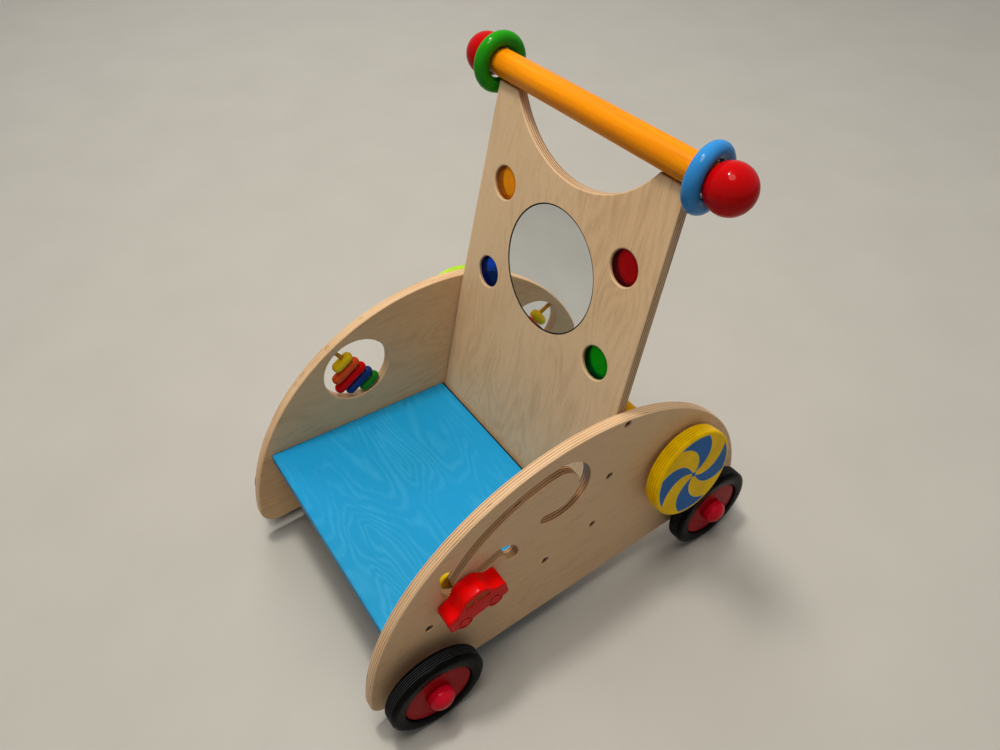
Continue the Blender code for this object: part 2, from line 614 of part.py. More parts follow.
# Track car with its peg and inner knob; car outline from its peg, nose to -u
car_x = OUT + CAR_OFF
car_put = at(car_x, PEG_AT.x, PEG_AT.y) @ Matrix.Rotation(CAR_PITCH, 4, "X")
car_flat = car_put @ side(0)
peg = Vector((PEG_U, PEG_V))
half = CAR_L / 2
corners = ((-half, 0, CAR_SILL_R), (half, 0, CAR_SILL_R), (half, CAR_TAIL, CAR_TAIL_R),
           (half * 0.64, CAR_TAIL + CAR_TAIL_RISE, CAR_NOSE_R), (half * 0.36, CAR_ROOF, CAR_ROOF_R),
           (-half * 0.22, CAR_ROOF, CAR_ROOF_R), (-half * 0.52, CAR_NOSE + CAR_NOSE_RISE, CAR_NOSE_R),
           (-half, CAR_NOSE, CAR_NOSE_R))
body = rounded(corners, 3)
sill = [i for i, p in enumerate(body) if p.x < 0 and abs(p.y) < GAP][-1]
dip = math.asin(CAR_WHEEL_V / CAR_WHEEL_R)
wells = []
for u in (-CAR_WHEEL_U, CAR_WHEEL_U):
    wells += arc(u, CAR_WHEEL_V, CAR_WHEEL_R, math.pi + dip, 2 * math.pi - dip, 6)
body[sill + 1:sill + 1] = wells
car = plate("track_car", RED, [p - peg for p in body], [], 0, CAR_T, car_flat, CAR_EDGE)
slant = half * 0.12
panes = ((-half * 0.38, -half * 0.045, slant, 0.0), (half * 0.045, half * 0.5, 0.0, -half * 0.2))
tools = []
for u0, u1, lean0, lean1 in panes:
    pane = ((u0, CAR_PANES, PANE_LOW_R), (u1, CAR_PANES, PANE_LOW_R),
            (u1 + lean1, PANE_TOP, PANE_TOP_R), (u0 + lean0, PANE_TOP, PANE_TOP_R))
    cutter = [p - peg for p in rounded(pane, 2)]
    tools.append(plate("tool", RED, cutter, [], CAR_T - CAR_CUT, CAR_T + CAR_CUT, car_flat, 0.0))
outer = CAR_WHEEL_R * 0.78
inner = CAR_WHEEL_R * 0.6
deep = CAR_T - CAR_CUT
ring = ((inner, deep), (outer, deep), (outer, CAR_T + CAR_CUT), (inner, CAR_T + CAR_CUT))
for u in (-CAR_WHEEL_U, CAR_WHEEL_U):
    spot = car_put @ at(0, u - PEG_U, CAR_WHEEL_V - PEG_V)
    tools.append(lathe("tool", RED, ring, 16, spot, closed=True))
tools.append(drill((car_x - CAR_PEG_IN, PEG_AT.x, PEG_AT.y), (1, 0, 0), CAR_PEG_R + GAP, 2 * CAR_PEG_IN))
cut(car, tools)
knob_x = HALF - 2 * GAP
put = at(knob_x, PEG_AT.x, PEG_AT.y)
pin("track_car_peg", AMBER, CAR_PEG_R, -KNOB_PEG_IN, car_x + CAR_PEG_IN - GAP - knob_x, 12, put)
bore = CAR_PEG_R + GAP
prof = [(CAR_KNOB_R * r, -CAR_KNOB_T * x) for r, x in CAR_KNOB_SHAPE]
prof += [(bore, 0), (bore, -KNOB_PEG_IN - GAP), (0, -KNOB_PEG_IN - GAP)]
lathe("track_car_knob", YELLOW, prof, 18, put)
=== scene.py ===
"""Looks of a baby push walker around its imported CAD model.

Every faceted solid is replaced by a finer piece of the same size, with procedural wood, lacquer,
rubber, acrylic and metal materials, on a plain floor in soft light.
"""
import json
import math

import bmesh
import bpy
from mathutils import Matrix, Vector

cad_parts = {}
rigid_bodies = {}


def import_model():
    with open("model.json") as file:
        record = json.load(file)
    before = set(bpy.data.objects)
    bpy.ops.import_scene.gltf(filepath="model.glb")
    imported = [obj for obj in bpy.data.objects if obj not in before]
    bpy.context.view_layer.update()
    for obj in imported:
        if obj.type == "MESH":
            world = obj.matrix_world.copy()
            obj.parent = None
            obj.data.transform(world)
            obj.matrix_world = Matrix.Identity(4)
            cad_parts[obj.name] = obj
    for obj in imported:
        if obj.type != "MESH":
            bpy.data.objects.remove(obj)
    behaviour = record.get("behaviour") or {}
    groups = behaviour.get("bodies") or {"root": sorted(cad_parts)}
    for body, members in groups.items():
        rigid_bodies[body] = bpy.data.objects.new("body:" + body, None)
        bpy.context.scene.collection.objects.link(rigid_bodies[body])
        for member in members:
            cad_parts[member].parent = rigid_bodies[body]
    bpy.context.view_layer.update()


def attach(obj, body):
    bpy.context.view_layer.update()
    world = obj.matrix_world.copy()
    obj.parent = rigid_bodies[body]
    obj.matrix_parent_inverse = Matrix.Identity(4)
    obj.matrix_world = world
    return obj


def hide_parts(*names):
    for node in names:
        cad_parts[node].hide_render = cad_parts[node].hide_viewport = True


for old in list(bpy.data.objects):
    bpy.data.objects.remove(old, do_unlink=True)

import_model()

# Sizes of the CAD part, in metres: front at -Y, car track on the +X side panel
GAP = 0.0003            # clearance of fixed pieces
PLY = 0.012             # thickness of the boards
EDGE = 0.0016           # rounding of their edges
HALF = 0.1365           # half the width between the side panels
OUT = HALF + PLY
PANEL_R = 0.255
PANEL_Z = 0.030
DOME_Z = 0.027
CORNER_R = 0.022
DOME_INSET = 0.00015    # keeps the finer arc inside the faceted outline
# Seat board and back panel
SEAT_PITCH = math.radians(4.3)
SEAT_Z = 0.4816 * PANEL_R
SEAT_Y = 0.0608 * PANEL_R
SEAT_L = 0.9176 * PANEL_R
BACK_LEAN = math.radians(14.1)
BACK_S = 0.384
BACK_TAPER = 0.0079
TAPER_FROM = 0.140
CUT_R = 0.1183
CUT_S = 0.4504
# Mirror and lenses
MIRROR_R = 0.065
MIRROR_S = 0.2394
MIRROR_T = 0.003
MIRROR_DISH = 0.0005    # the thin sheet is pulled in a little at its middle
MIRROR_SHADE_RIM = 0.0006     # painted shade: a dark ring round the silvering for the shaded gap at the mirror's edge
LENS_R = 0.0171
LENS_T = 0.008
LENS_SET = 0.0014
LENS_X = 0.6689 * HALF
LENS_S = (0.1868, 0.2914)
# Push bar
BAR_R = 0.0134
KNOB_R = 0.0213
KNOB_X = 0.163
TENON_R = 0.008
RING_X = 0.1405
RING_YAW = math.radians(8.5)
RING_MAJOR = 0.0225
RING_TUBE = 0.0075
PIN_R = 0.004
PIN_L = 0.030
# Wheels
TYRE_R = 0.2118 * PANEL_R
TYRE_W = 0.019
RIB_H = 0.0009          # height of the tread's ribs
WHEEL_X = 0.168
WHEEL_Y = 0.7482 * PANEL_R
DISC_R = TYRE_R - 0.0155
DISC_SET = 0.002
BOSS_R = 0.012
AXLE_R = 0.004
AXLE_END = 0.006
CAP_R = 0.014
CAP_T = 0.015
# Spinning discs
SPIN_R = 0.2129 * PANEL_R
SPIN_T = 0.0178
SPIN_EDGE = 0.003
SPIN_FACE_X = 0.175
SPIN_AT = {"left": (0.14150, 0.15669), "right": (0.05743, 0.20721)}
SPIN_TILT = {"left": math.radians(7.2), "right": 0.0}
SPIN_PEG_R = 0.0042
SPIN_HOLE_R = 0.0062
SPIN_CAP_R = 0.0078
SPIN_CAP_T = 0.006
SPIN_GLUE = 0.012
# Cross bar
CROSS_R = 0.009
CROSS_Y = 0.3667 * PANEL_R
CROSS_Z = DOME_Z + 0.8078 * PANEL_R
CROSS_IN = 0.006
# Bead window
WIN_Y = -0.3733 * PANEL_R
WIN_Z = DOME_Z + 0.7067 * PANEL_R
WIN_R = 0.1608 * PANEL_R
ROD_R = 0.0025
ROD_STEEP = math.radians(58.7)
BEAD_R = 0.1549 * WIN_R
BEAD_HOLE_R = 0.0031
BEAD_TOP = 0.2439 * WIN_R
BEAD_LOW = 0.7854 * WIN_R
BEADS = (("green", 0.4439), ("blue", 0.7463), ("red", 0.8976), ("orange", 0.7317), ("yellow", 0.4390))
# Car track
SLOT_W = 0.0132
ARC_Y = -0.0333 * PANEL_R
ARC_Z = DOME_Z + 0.2039 * PANEL_R
ARC_R = 0.6961 * PANEL_R
ARC_TOP = math.radians(95.9)
ARC_LOW = math.radians(142.9)
LOOP_R = 0.1255 * PANEL_R
LOOP_END = math.radians(-118.0)
TURN_R = 0.0125
BRANCH_DIR = math.radians(24.0)
BRANCH_L = 0.040
HOOK_R = 0.014
POCKET_Y = -0.6 * PANEL_R
POCKET_Z = DOME_Z + 0.6804 * PANEL_R
POCKET_R = 0.006
POCKET_TOP = math.radians(80.0)
TRACK_STEPS = (64, 54, 24)
PEG_BACK = 0.005
# Car
CAR_T = 0.022
CAR_OFF = 0.001
CAR_PITCH = math.radians(10.0)
CAR_L = 0.067
CAR_NOSE = 0.016
CAR_TAIL = 0.021
CAR_ROOF = 0.037
CAR_CUT = 0.001
CAR_WHEEL_R = 0.0095
CAR_WHEEL_U = 0.0175
CAR_WHEEL_V = 0.0033
CAR_PANES = 0.0215
PANE_TOP = 0.033
PEG_U = -0.0047
PEG_V = 0.0177
CAR_PEG_R = 0.0045
CAR_PEG_IN = 0.012
CAR_KNOB_R = 0.0145
CAR_KNOB_T = 0.010
KNOB_PEG_IN = 0.006
# Screws
SCREW_R = 0.0025
SCREW_HEAD_R = 0.004
SCREW_HEAD_T = 0.004
SCREW_L = 0.032
SCREW_SINK = 0.002
SCREW_KEY_R = 0.0018
SCREW_KEY_T = 0.0025
SEAT_SCREWS = (0.2286, 0.8248)
BACK_SCREWS = (0.0471, 0.3255, 0.5961)
SIDES = (("left", 1), ("right", -1))
AXLES = (("front", -WHEEL_Y), ("rear", WHEEL_Y))

# Axes of the leaning back panel and the sloping seat
SLOPE = Vector((0, math.sin(BACK_LEAN), math.cos(BACK_LEAN)))
FRONT = Vector((0, -math.cos(BACK_LEAN), math.sin(BACK_LEAN)))
FOOT = Vector((0, SEAT_Y, SEAT_Z))
REAR = Vector((0, math.cos(SEAT_PITCH), -math.sin(SEAT_PITCH)))
TOP = Vector((0, math.sin(SEAT_PITCH), math.cos(SEAT_PITCH)))
BACK = Matrix(((1, 0, 0, 0), (0, SLOPE.y, FRONT.y, FOOT.y), (0, SLOPE.z, FRONT.z, FOOT.z), (0, 0, 0, 1)))
SEAT = Matrix(((1, 0, 0, 0), (0, REAR.y, TOP.y, FOOT.y), (0, REAR.z, TOP.z, FOOT.z), (0, 0, 0, 1)))


# Shapes

def arc(cy, cz, r, a0, a1, steps):
    angles = [a0 + (a1 - a0) * i / steps for i in range(steps + 1)]
    return [Vector((cy + r * math.cos(a), cz + r * math.sin(a))) for a in angles]


def circle(cy, cz, r, steps):
    return arc(cy, cz, r, 0.0, 2 * math.pi, steps)[:-1]


def rounded(corners, steps):
    """Polygon of (u, v, radius) corners with every corner turned into a tangent arc."""
    pts = []
    count = len(corners)
    for i, (u, v, r) in enumerate(corners):
        here = Vector((u, v))
        back = (Vector(corners[i - 1][:2]) - here).normalized()
        ahead = (Vector(corners[(i + 1) % count][:2]) - here).normalized()
        half = back.angle(ahead) / 2
        mid = here + (back + ahead).normalized() * (r / math.sin(half))
        start = here + back * (r / math.tan(half)) - mid
        turn = start.angle_signed(here + ahead * (r / math.tan(half)) - mid)
        for k in range(steps + 1):
            pts.append(mid + Matrix.Rotation(-turn * k / steps, 2) @ start)
    return pts


def area(loop):
    return sum(a.x * b.y - b.x * a.y for a, b in zip(loop, loop[1:] + loop[:1])) / 2


def inset(loop, d):
    """Loop moved by d to its left."""
    moved = []
    for i, p in enumerate(loop):
        a = (p - loop[i - 1]).normalized()
        b = (loop[(i + 1) % len(loop)] - p).normalized()
        n = (Vector((-a.y, a.x)) + Vector((-b.y, b.x))).normalized()
        moved.append(p + n * (d / max(0.5, n.dot(Vector((-a.y, a.x))))))
    return moved


CREASE = 38.0           # edges sharper than this many degrees stay sharp


def shade(mesh, angle=CREASE):
    mesh.polygons.foreach_set("use_smooth", [True] * len(mesh.polygons))
    mesh.set_sharp_from_angle(angle=math.radians(angle))


def object_from(bm, name, place, angle=CREASE):
    bmesh.ops.recalc_face_normals(bm, faces=bm.faces)
    mesh = bpy.data.meshes.new(name)
    bm.to_mesh(mesh)
    bm.free()
    shade(mesh, angle)
    ob = bpy.data.objects.new(name, mesh)
    ob.matrix_world = place
    bpy.context.collection.objects.link(ob)
    return ob


HOLD = 0.0005           # flat strip beside every rounded edge, which keeps the faces' shading flat
FINE_EDGE = 0.0006      # rounding of small holes and of rod ends
STRAIGHT = math.radians(172)    # flatter corners of a profile stay as they are
CORNER_ROOM = 0.45      # share of a profile's side that one corner may take


def plate(name, outline, holes, w0, w1, place, edge=EDGE, steps=4):
    """Flat board in local (u, v) between w0 and w1, with quarter-round edges.

    holes are (loop, edge, material index of the wall).
    """
    bm = bmesh.new()
    loops = [(outline if area(outline) > 0 else outline[::-1], edge, 0)]
    loops += [(h if area(h) < 0 else h[::-1], e, index) for h, e, index in holes]
    caps = ([], [])
    for loop, e, index in loops:
        levels = [(e + HOLD, w0)]
        for k in range(steps + 1):
            t = math.pi / 2 * k / steps
            levels.append((e * (1 - math.sin(t)), w0 + e * (1 - math.cos(t))))
        levels += [(d, w0 + w1 - w) for d, w in reversed(levels)]
        rings = []
        for d, w in levels:
            rings.append([bm.verts.new((p.x, p.y, w)) for p in inset(loop, d)])
        n = len(loop)
        for low, high in zip(rings, rings[1:]):
            for i in range(n):
                wall = bm.faces.new((low[i], low[(i + 1) % n], high[(i + 1) % n], high[i]))
                wall.material_index = index
        for cap, ring in zip(caps, (rings[0], rings[-1])):
            cap.extend(bm.edges.get((ring[i], ring[(i + 1) % n])) for i in range(n))
    for cap in caps:
        bmesh.ops.triangle_fill(bm, use_beauty=True, edges=cap)
    return object_from(bm, name, place)


def lathe(name, profile, steps, place, closed=False, angle=CREASE):
    """Revolve (r, x) points about the local X axis; r = 0 makes a pole, closed makes a ring."""
    bm = bmesh.new()
    rings = []
    for r, x in profile:
        if r == 0:
            rings.append([bm.verts.new((x, 0, 0))])
            continue
        turns = [2 * math.pi * i / steps for i in range(steps)]
        rings.append([bm.verts.new((x, r * math.cos(t), r * math.sin(t))) for t in turns])
    pairs = list(zip(rings, rings[1:]))
    if closed:
        pairs.append((rings[-1], rings[0]))
    for a, b in pairs:
        for i in range(steps):
            j = (i + 1) % steps
            if len(a) == 1:
                bm.faces.new((a[0], b[i], b[j]))
            elif len(b) == 1:
                bm.faces.new((a[i], a[j], b[0]))
            else:
                bm.faces.new((a[i], a[j], b[j], b[i]))
    return object_from(bm, name, place, angle)


def soften(profile, r, steps=3):
    """Profile with its inner corners turned into arcs of radius r where there is room."""
    out = [profile[0]]
    for a, b, c in zip(profile, profile[1:], profile[2:]):
        here = Vector(b)
        back = Vector(a) - here
        ahead = Vector(c) - here
        turn = back.angle(ahead)
        if turn > STRAIGHT:
            out.append(b)
            continue
        cut_back = min(r, back.length * CORNER_ROOM, ahead.length * CORNER_ROOM)
        p0 = here + back.normalized() * cut_back
        p2 = here + ahead.normalized() * cut_back
        for k in range(steps + 1):
            t = k / steps
            p = p0 * (1 - t) ** 2 + here * 2 * t * (1 - t) + p2 * t ** 2
            out.append((p.x, p.y))
    out.append(profile[-1])
    return out


def rod(name, r, x0, x1, place, steps=48):
    """Round bar from x0 to x1 on the local X axis, its ends a little rounded."""
    return lathe(name, soften(((0, x0), (r, x0), (r, x1), (0, x1)), FINE_EDGE), steps, place)


def at(x, y, z):
    return Matrix.Translation((x, y, z))


def aimed(where, direction):
    turn = Vector((1, 0, 0)).rotation_difference(Vector(direction))
    return Matrix.Translation(where) @ turn.to_matrix().to_4x4()


def drill(start, along, r, length, steps=32):
    return lathe("tool", ((0, 0), (r, 0), (r, length), (0, length)), steps, aimed(start, along))


def facing(sx):
    return Matrix.Rotation(0.0 if sx > 0 else math.pi, 4, "Z")


def side(x):
    """Plate axes (u, v, w) on world (y, z, x)."""
    return Matrix(((0, 0, 1, x), (1, 0, 0, 0), (0, 1, 0, 0), (0, 0, 0, 1)))


def cut(ob, tools, *mats):
    """Take the tool pieces out of ob for good; mats are the slots its faces are sorted into."""
    for mat in mats:
        ob.data.materials.append(mat)
    for tool in tools:
        mod = ob.modifiers.new("cut", "BOOLEAN")
        mod.operation = "DIFFERENCE"
        mod.solver = "EXACT"
        mod.object = tool
    bpy.context.view_layer.update()
    graph = bpy.context.evaluated_depsgraph_get()
    mesh = bpy.data.meshes.new_from_object(ob.evaluated_get(graph))
    ob.modifiers.clear()
    mesh.name = ob.name
    ob.data = mesh
    shade(mesh)
    for tool in tools:
        bpy.data.objects.remove(tool, do_unlink=True)


def wear(ob, mat, body, node, slot, *others):
    """Give a piece its materials and let it stand for a CAD node."""
    indices = [f.material_index for f in ob.data.polygons]
    ob.data.materials.clear()
    for m in (mat, *others):
        ob.data.materials.append(m)
    ob.data.polygons.foreach_set("material_index", [min(i, len(others)) for i in indices])
    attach(ob, body)
    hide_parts(node)


def on_back(x, s, w=0.0):
    return FOOT + Vector((x, 0, 0)) + SLOPE * s + FRONT * w


def on_seat(v, w=0.0):
    return FOOT - REAR * v + TOP * w


def car_track():
    """Outline of the slot along tangent arcs, and the peg's place in it."""
    join = Vector((ARC_Y, ARC_Z)) + (ARC_R - LOOP_R) * Vector((math.cos(ARC_TOP), math.sin(ARC_TOP)))
    loop_steps, arc_steps, turn_steps = TRACK_STEPS
    line = arc(join.x, join.y, LOOP_R, LOOP_END, ARC_TOP, loop_steps)
    line += arc(ARC_Y, ARC_Z, ARC_R, ARC_TOP, ARC_LOW, arc_steps)[1:]
    low = len(line)
    mid = Vector((ARC_Y, ARC_Z)) + (ARC_R - TURN_R) * Vector((math.cos(ARC_LOW), math.sin(ARC_LOW)))
    turn = arc(mid.x, mid.y, TURN_R, ARC_LOW, BRANCH_DIR + 1.5 * math.pi, turn_steps)[1:]
    heading = Vector((math.cos(BRANCH_DIR), math.sin(BRANCH_DIR)))
    crest = turn[-1] + heading * BRANCH_L
    hub = crest + Vector((heading.y, -heading.x)) * HOOK_R
    line += turn + [crest] + arc(hub.x, hub.y, HOOK_R, BRANCH_DIR + math.pi / 2, 0.0, 20)[1:]
    left = []
    right = []
    for i, p in enumerate(line):
        step = (line[min(i + 1, len(line) - 1)] - line[max(i - 1, 0)]).normalized()
        n = Vector((-step.y, step.x)) * (SLOT_W / 2)
        left.append(p + n)
        right.append(p - n)
    # The pocket widens the outer side at the arc's foot
    start = low - 1 - arc_steps // 9
    after = low + turn_steps // 4 - 1
    right[start + 1:after] = arc(POCKET_Y, POCKET_Z, POCKET_R, POCKET_TOP, math.pi, 16)
    ends = []
    for tip, edge in ((line[-1], left[-1]), (line[0], right[0])):
        a = math.atan2(edge.y - tip.y, edge.x - tip.x)
        ends.append(arc(tip.x, tip.y, SLOT_W / 2, a, a - math.pi, 16)[1:-1])
    return left + ends[0] + right[::-1] + ends[1], turn[-1] - heading * PEG_BACK


def dome():
    """Side panel outline: half disc with its two lower corners rounded."""
    rise = PANEL_Z - DOME_Z + CORNER_R
    reach = math.sqrt((PANEL_R - CORNER_R) ** 2 - rise ** 2)
    a = math.atan2(rise, reach)
    pts = arc(0, DOME_Z, PANEL_R, a, math.pi - a, 160)
    pts += arc(-reach, PANEL_Z + CORNER_R, CORNER_R, math.pi - a, 1.5 * math.pi, 20)[1:]
    pts += arc(reach, PANEL_Z + CORNER_R, CORNER_R, -math.pi / 2, a, 20)[:-1]
    return inset(pts, DOME_INSET)


# Materials

def add(tree, kind, ins=None, **props):
    n = tree.nodes.new("ShaderNode" + kind)
    for key, value in props.items():
        setattr(n, key, value)
    for key, value in (ins or {}).items():
        if isinstance(value, bpy.types.NodeSocket):
            tree.links.new(value, n.inputs[key])
        else:
            n.inputs[key].default_value = value
    return n


def calc(tree, op, a, b=0.0):
    return add(tree, "Math", {0: a, 1: b}, operation=op).outputs[0]


def grey(value):
    return (value, value, value)


def scaled(rgb, k):
    return tuple(min(1.0, c * k) for c in rgb)


BLACK = grey(0.0)
WHITE = grey(1.0)


def ramp(tree, fac, stops):
    n = add(tree, "ValToRGB", {0: fac})
    elements = n.color_ramp.elements
    for i, (pos, rgb) in enumerate(stops):
        e = elements[i] if i < 2 else elements.new(pos)
        e.position = pos
        e.color = (*rgb, 1.0)
    return n.outputs[0]


def mix(tree, fac, a, b, blend="MIX"):
    n = add(tree, "Mix", {0: fac}, data_type="RGBA", blend_type=blend)
    for index, value in ((6, a), (7, b)):
        if isinstance(value, bpy.types.NodeSocket):
            tree.links.new(value, n.inputs[index])
        else:
            n.inputs[index].default_value = (*value, 1.0)
    return n.outputs[2]


def local(tree, kind="Object"):
    """The x, y and z sockets of a point in the piece's own axes, or of its normal."""
    return add(tree, "SeparateXYZ", {0: add(tree, "TexCoord").outputs[kind]}).outputs


def off_axis(tree):
    """Distance from the local X axis."""
    _, y, z = local(tree)
    return calc(tree, "SQRT", calc(tree, "ADD", calc(tree, "POWER", y, 2.0), calc(tree, "POWER", z, 2.0)))


def noise(tree, scale, detail=2.0, rough=0.5, distort=0.0, shift=(0, 0, 0)):
    """Noise in the piece's own axes, with a scale for each axis."""
    coords = add(tree, "TexCoord").outputs["Object"]
    coords = add(tree, "Mapping", {"Vector": coords, "Scale": scale, "Location": shift}).outputs[0]
    ins = {"Vector": coords, "Scale": 1.0, "Detail": detail, "Roughness": rough, "Distortion": distort}
    return add(tree, "TexNoise", ins).outputs[0]


def fibre(tree, grain, along, across, depth, shift, detail=2.0, rough=0.5, distort=0.0):
    """Noise drawn out along a board's grain."""
    scale = (along, across, depth) if grain == "u" else (across, along, depth)
    return noise(tree, scale, detail, rough, distort, shift)


def sway(tree, value, by):
    """Noise turned into a shift to both sides."""
    return calc(tree, "MULTIPLY", calc(tree, "SUBTRACT", value, 0.5), by)


def new_material(name, **values):
    mat = bpy.data.materials.new(name)
    mat.use_nodes = True
    bsdf = mat.node_tree.nodes["Principled BSDF"]
    for key, value in values.items():
        bsdf.inputs[key.replace("_", " ")].default_value = value
    return mat, mat.node_tree, bsdf


def feed(tree, bsdf, **outputs):
    """Link outputs to the shader's inputs."""
    for key, value in outputs.items():
        tree.links.new(value, bsdf.inputs[key.replace("_", " ")])


def bump(tree, bsdf, height, strength, distance):
    n = add(tree, "Bump", {"Height": height, "Strength": strength, "Distance": distance})
    tree.links.new(n.outputs[0], bsdf.inputs["Normal"])


PLY_PAIRS = 4.5         # light and dark layers through a board


def board(name, light, dark, ply, grain, seed, w0, figure=0.09, bands=0.72, gloss=0.32):
    """Veneered board: figured face veneer with fine streaks and pores, and plies on its edges.

    grain is "u" or "v", the local axis the grain runs along; w0 is the lower face.
    """
    mat, t, bsdf = new_material(name, Specular_IOR_Level=gloss)
    warp = fibre(t, grain, 3.2, 13.0, 6.0, (seed, seed * 1.7, 0), 2.5, 0.45, 0.35)
    lines = calc(t, "SINE", calc(t, "MULTIPLY", warp, 150.0))
    lines = calc(t, "ADD", calc(t, "MULTIPLY", lines, 0.5), 0.5)
    fine = fibre(t, grain, 22.0, 520.0, 30.0, (seed, 0, 0), 3.0, 0.6)
    pores = fibre(t, grain, 130.0, 1050.0, 60.0, (0, seed, 0), 1.0)
    pores = ramp(t, pores, ((0.60, BLACK), (0.74, WHITE)))
    broad = noise(t, (5.0, 5.0, 5.0), 1.5, shift=(seed, seed, 0))
    cloud = fibre(t, grain, 16.0, 55.0, 9.0, (2 * seed, seed, 0), 3.0, 0.6, 0.3)
    tone = calc(t, "MULTIPLY", lines, figure)
    for part, weight in ((fine, 0.40), (broad, 0.40), (cloud, 0.31)):
        tone = calc(t, "ADD", tone, calc(t, "MULTIPLY", part, weight))
    colour = ramp(t, tone, ((0.36, scaled(light, 1.06)), (0.62, light), (1.0, dark)))
    warmth = ramp(t, broad, ((0.42, BLACK), (0.66, grey(0.55))))
    colour = mix(t, warmth, colour, (1.0, 0.92, 0.84), "MULTIPLY")
    colour = mix(t, calc(t, "MULTIPLY", pores, 0.2), colour, scaled(dark, 0.55))
    veins = fibre(t, grain, 9.0, 260.0, 20.0, (seed, 2 * seed, 0), 2.0, 0.5, 0.6)
    veins = ramp(t, veins, ((0.71, BLACK), (0.78, WHITE)))
    colour = mix(t, calc(t, "MULTIPLY", veins, 0.45), colour, scaled(dark, 0.5))
    # Plies, from the depth through the board
    wander = noise(t, (38.0, 38.0, 38.0), shift=(seed, 0, 0))
    depth = calc(t, "ADD", local(t)[2], sway(t, wander, 0.0005))
    layer = calc(t, "FRACT", calc(t, "MULTIPLY", calc(t, "SUBTRACT", depth, w0), PLY_PAIRS / PLY))
    band = ramp(t, layer, ((0.0, BLACK), (0.50, BLACK), (0.60, WHITE), (0.92, WHITE), (1.0, BLACK)))
    grit = noise(t, (900.0, 900.0, 2600.0), shift=(seed, 0, 0))
    long_ply = mix(t, calc(t, "MULTIPLY", grit, 0.5), scaled(ply[0], 1.08), scaled(ply[0], 0.82))
    end_ply = mix(t, grit, scaled(ply[1], 1.25), scaled(ply[1], 0.7))
    patchy = noise(t, (11.0, 11.0, 60.0), 2.0, 0.6, shift=(3 * seed, 0, 0))
    patchy = ramp(t, patchy, ((0.36, grey(0.35 * bands)), (0.62, grey(min(1.0, 1.25 * bands)))))
    plies = mix(t, calc(t, "MULTIPLY", band, patchy), long_ply, end_ply)
    voids = noise(t, (55.0, 55.0, 420.0), 1.0, shift=(seed, 3 * seed, 0))
    voids = ramp(t, voids, ((0.71, BLACK), (0.725, WHITE)))
    plies = mix(t, calc(t, "MULTIPLY", voids, band), plies, scaled(ply[1], 0.25))
    rim = ramp(t, calc(t, "ABSOLUTE", local(t, "Normal")[2]), ((0.55, WHITE), (0.93, BLACK)))
    rough = calc(t, "ADD", fine, calc(t, "MULTIPLY", pores, 0.3))
    rough = ramp(t, rough, ((0.3, grey(0.42)), (0.9, grey(0.58))))
    feed(t, bsdf, Base_Color=mix(t, rim, colour, plies), Roughness=rough)
    bump(t, bsdf, calc(t, "SUBTRACT", fine, calc(t, "MULTIPLY", pores, 0.6)), 0.12, 0.0003)
    return mat


def turned(name, light, dark):
    """Stained round stock with its grain along the local X axis."""
    mat, t, bsdf = new_material(name, Coat_Weight=0.04, Coat_Roughness=0.15, Specular_IOR_Level=0.08)
    streaks = noise(t, (9.0, 260.0, 260.0), 3.0, 0.55)
    flecks = ramp(t, noise(t, (150.0, 1300.0, 1300.0), 1.0), ((0.60, BLACK), (0.72, WHITE)))
    colour = ramp(t, streaks, ((0.3, light), (0.72, dark)))
    colour = mix(t, calc(t, "MULTIPLY", flecks, 0.28), colour, scaled(dark, 0.6))
    feed(t, bsdf, Base_Color=colour, Roughness=ramp(t, streaks, ((0.3, grey(0.34)), (0.8, grey(0.46)))))
    bump(t, bsdf, calc(t, "SUBTRACT", streaks, calc(t, "MULTIPLY", flecks, 0.4)), 0.08, 0.0003)
    return mat


def lacquer(name, rgb, rough=0.12, coat=0.08):
    """Opaque gloss lacquer over wood: soft tone changes, faint brush marks and small scuffs."""
    mat, t, bsdf = new_material(name, Coat_Weight=coat, Coat_Roughness=0.05, Specular_IOR_Level=0.04)
    cloud = noise(t, (45.0, 45.0, 45.0), 3.0)
    scuff = noise(t, (160.0, 420.0, 420.0), 4.0, 0.6)
    feed(t, bsdf, Base_Color=ramp(t, cloud, ((0.3, scaled(rgb, 1.06)), (0.7, scaled(rgb, 0.88)))),
         Roughness=ramp(t, scuff, ((0.35, grey(rough)), (0.8, grey(rough + 0.1)))))
    bump(t, bsdf, noise(t, (380.0, 380.0, 380.0), 1.0), 0.04, 0.0004)
    return mat


def overpaint(mat, share, dark):
    """Dark paint over a material, as thick as share says."""
    t = mat.node_tree
    colour = t.nodes["Principled BSDF"].inputs["Base Color"]
    t.links.new(mix(t, share, colour.links[0].from_socket, dark), colour)


def shadow_line(mat, edge, width, dark):
    """Painted shadow: a dark line on a board along the joint at the local y of edge."""
    t = mat.node_tree
    inward = calc(t, "DIVIDE", calc(t, "SUBTRACT", edge, local(t)[1]), width)
    overpaint(mat, ramp(t, inward, ((0.7, WHITE), (1.0, BLACK))), dark)


def ply_rim(mat, pitch, dark):
    """Thin ply lines that show through the paint on the rim of a disc turned about local X."""
    t = mat.node_tree
    x = calc(t, "ADD", local(t)[0], sway(t, noise(t, (30.0, 30.0, 30.0)), pitch * 0.3))
    line = ramp(t, calc(t, "FRACT", calc(t, "DIVIDE", x, pitch)),
                ((0.40, BLACK), (0.47, WHITE), (0.53, WHITE), (0.60, BLACK)))
    rim = ramp(t, calc(t, "ABSOLUTE", local(t, "Normal")[0]), ((0.3, WHITE), (0.7, BLACK)))
    broken = ramp(t, noise(t, (90.0, 90.0, 90.0)), ((0.3, grey(0.55)), (0.6, WHITE)))
    overpaint(mat, calc(t, "MULTIPLY", calc(t, "MULTIPLY", line, rim), broken), dark)
    return mat


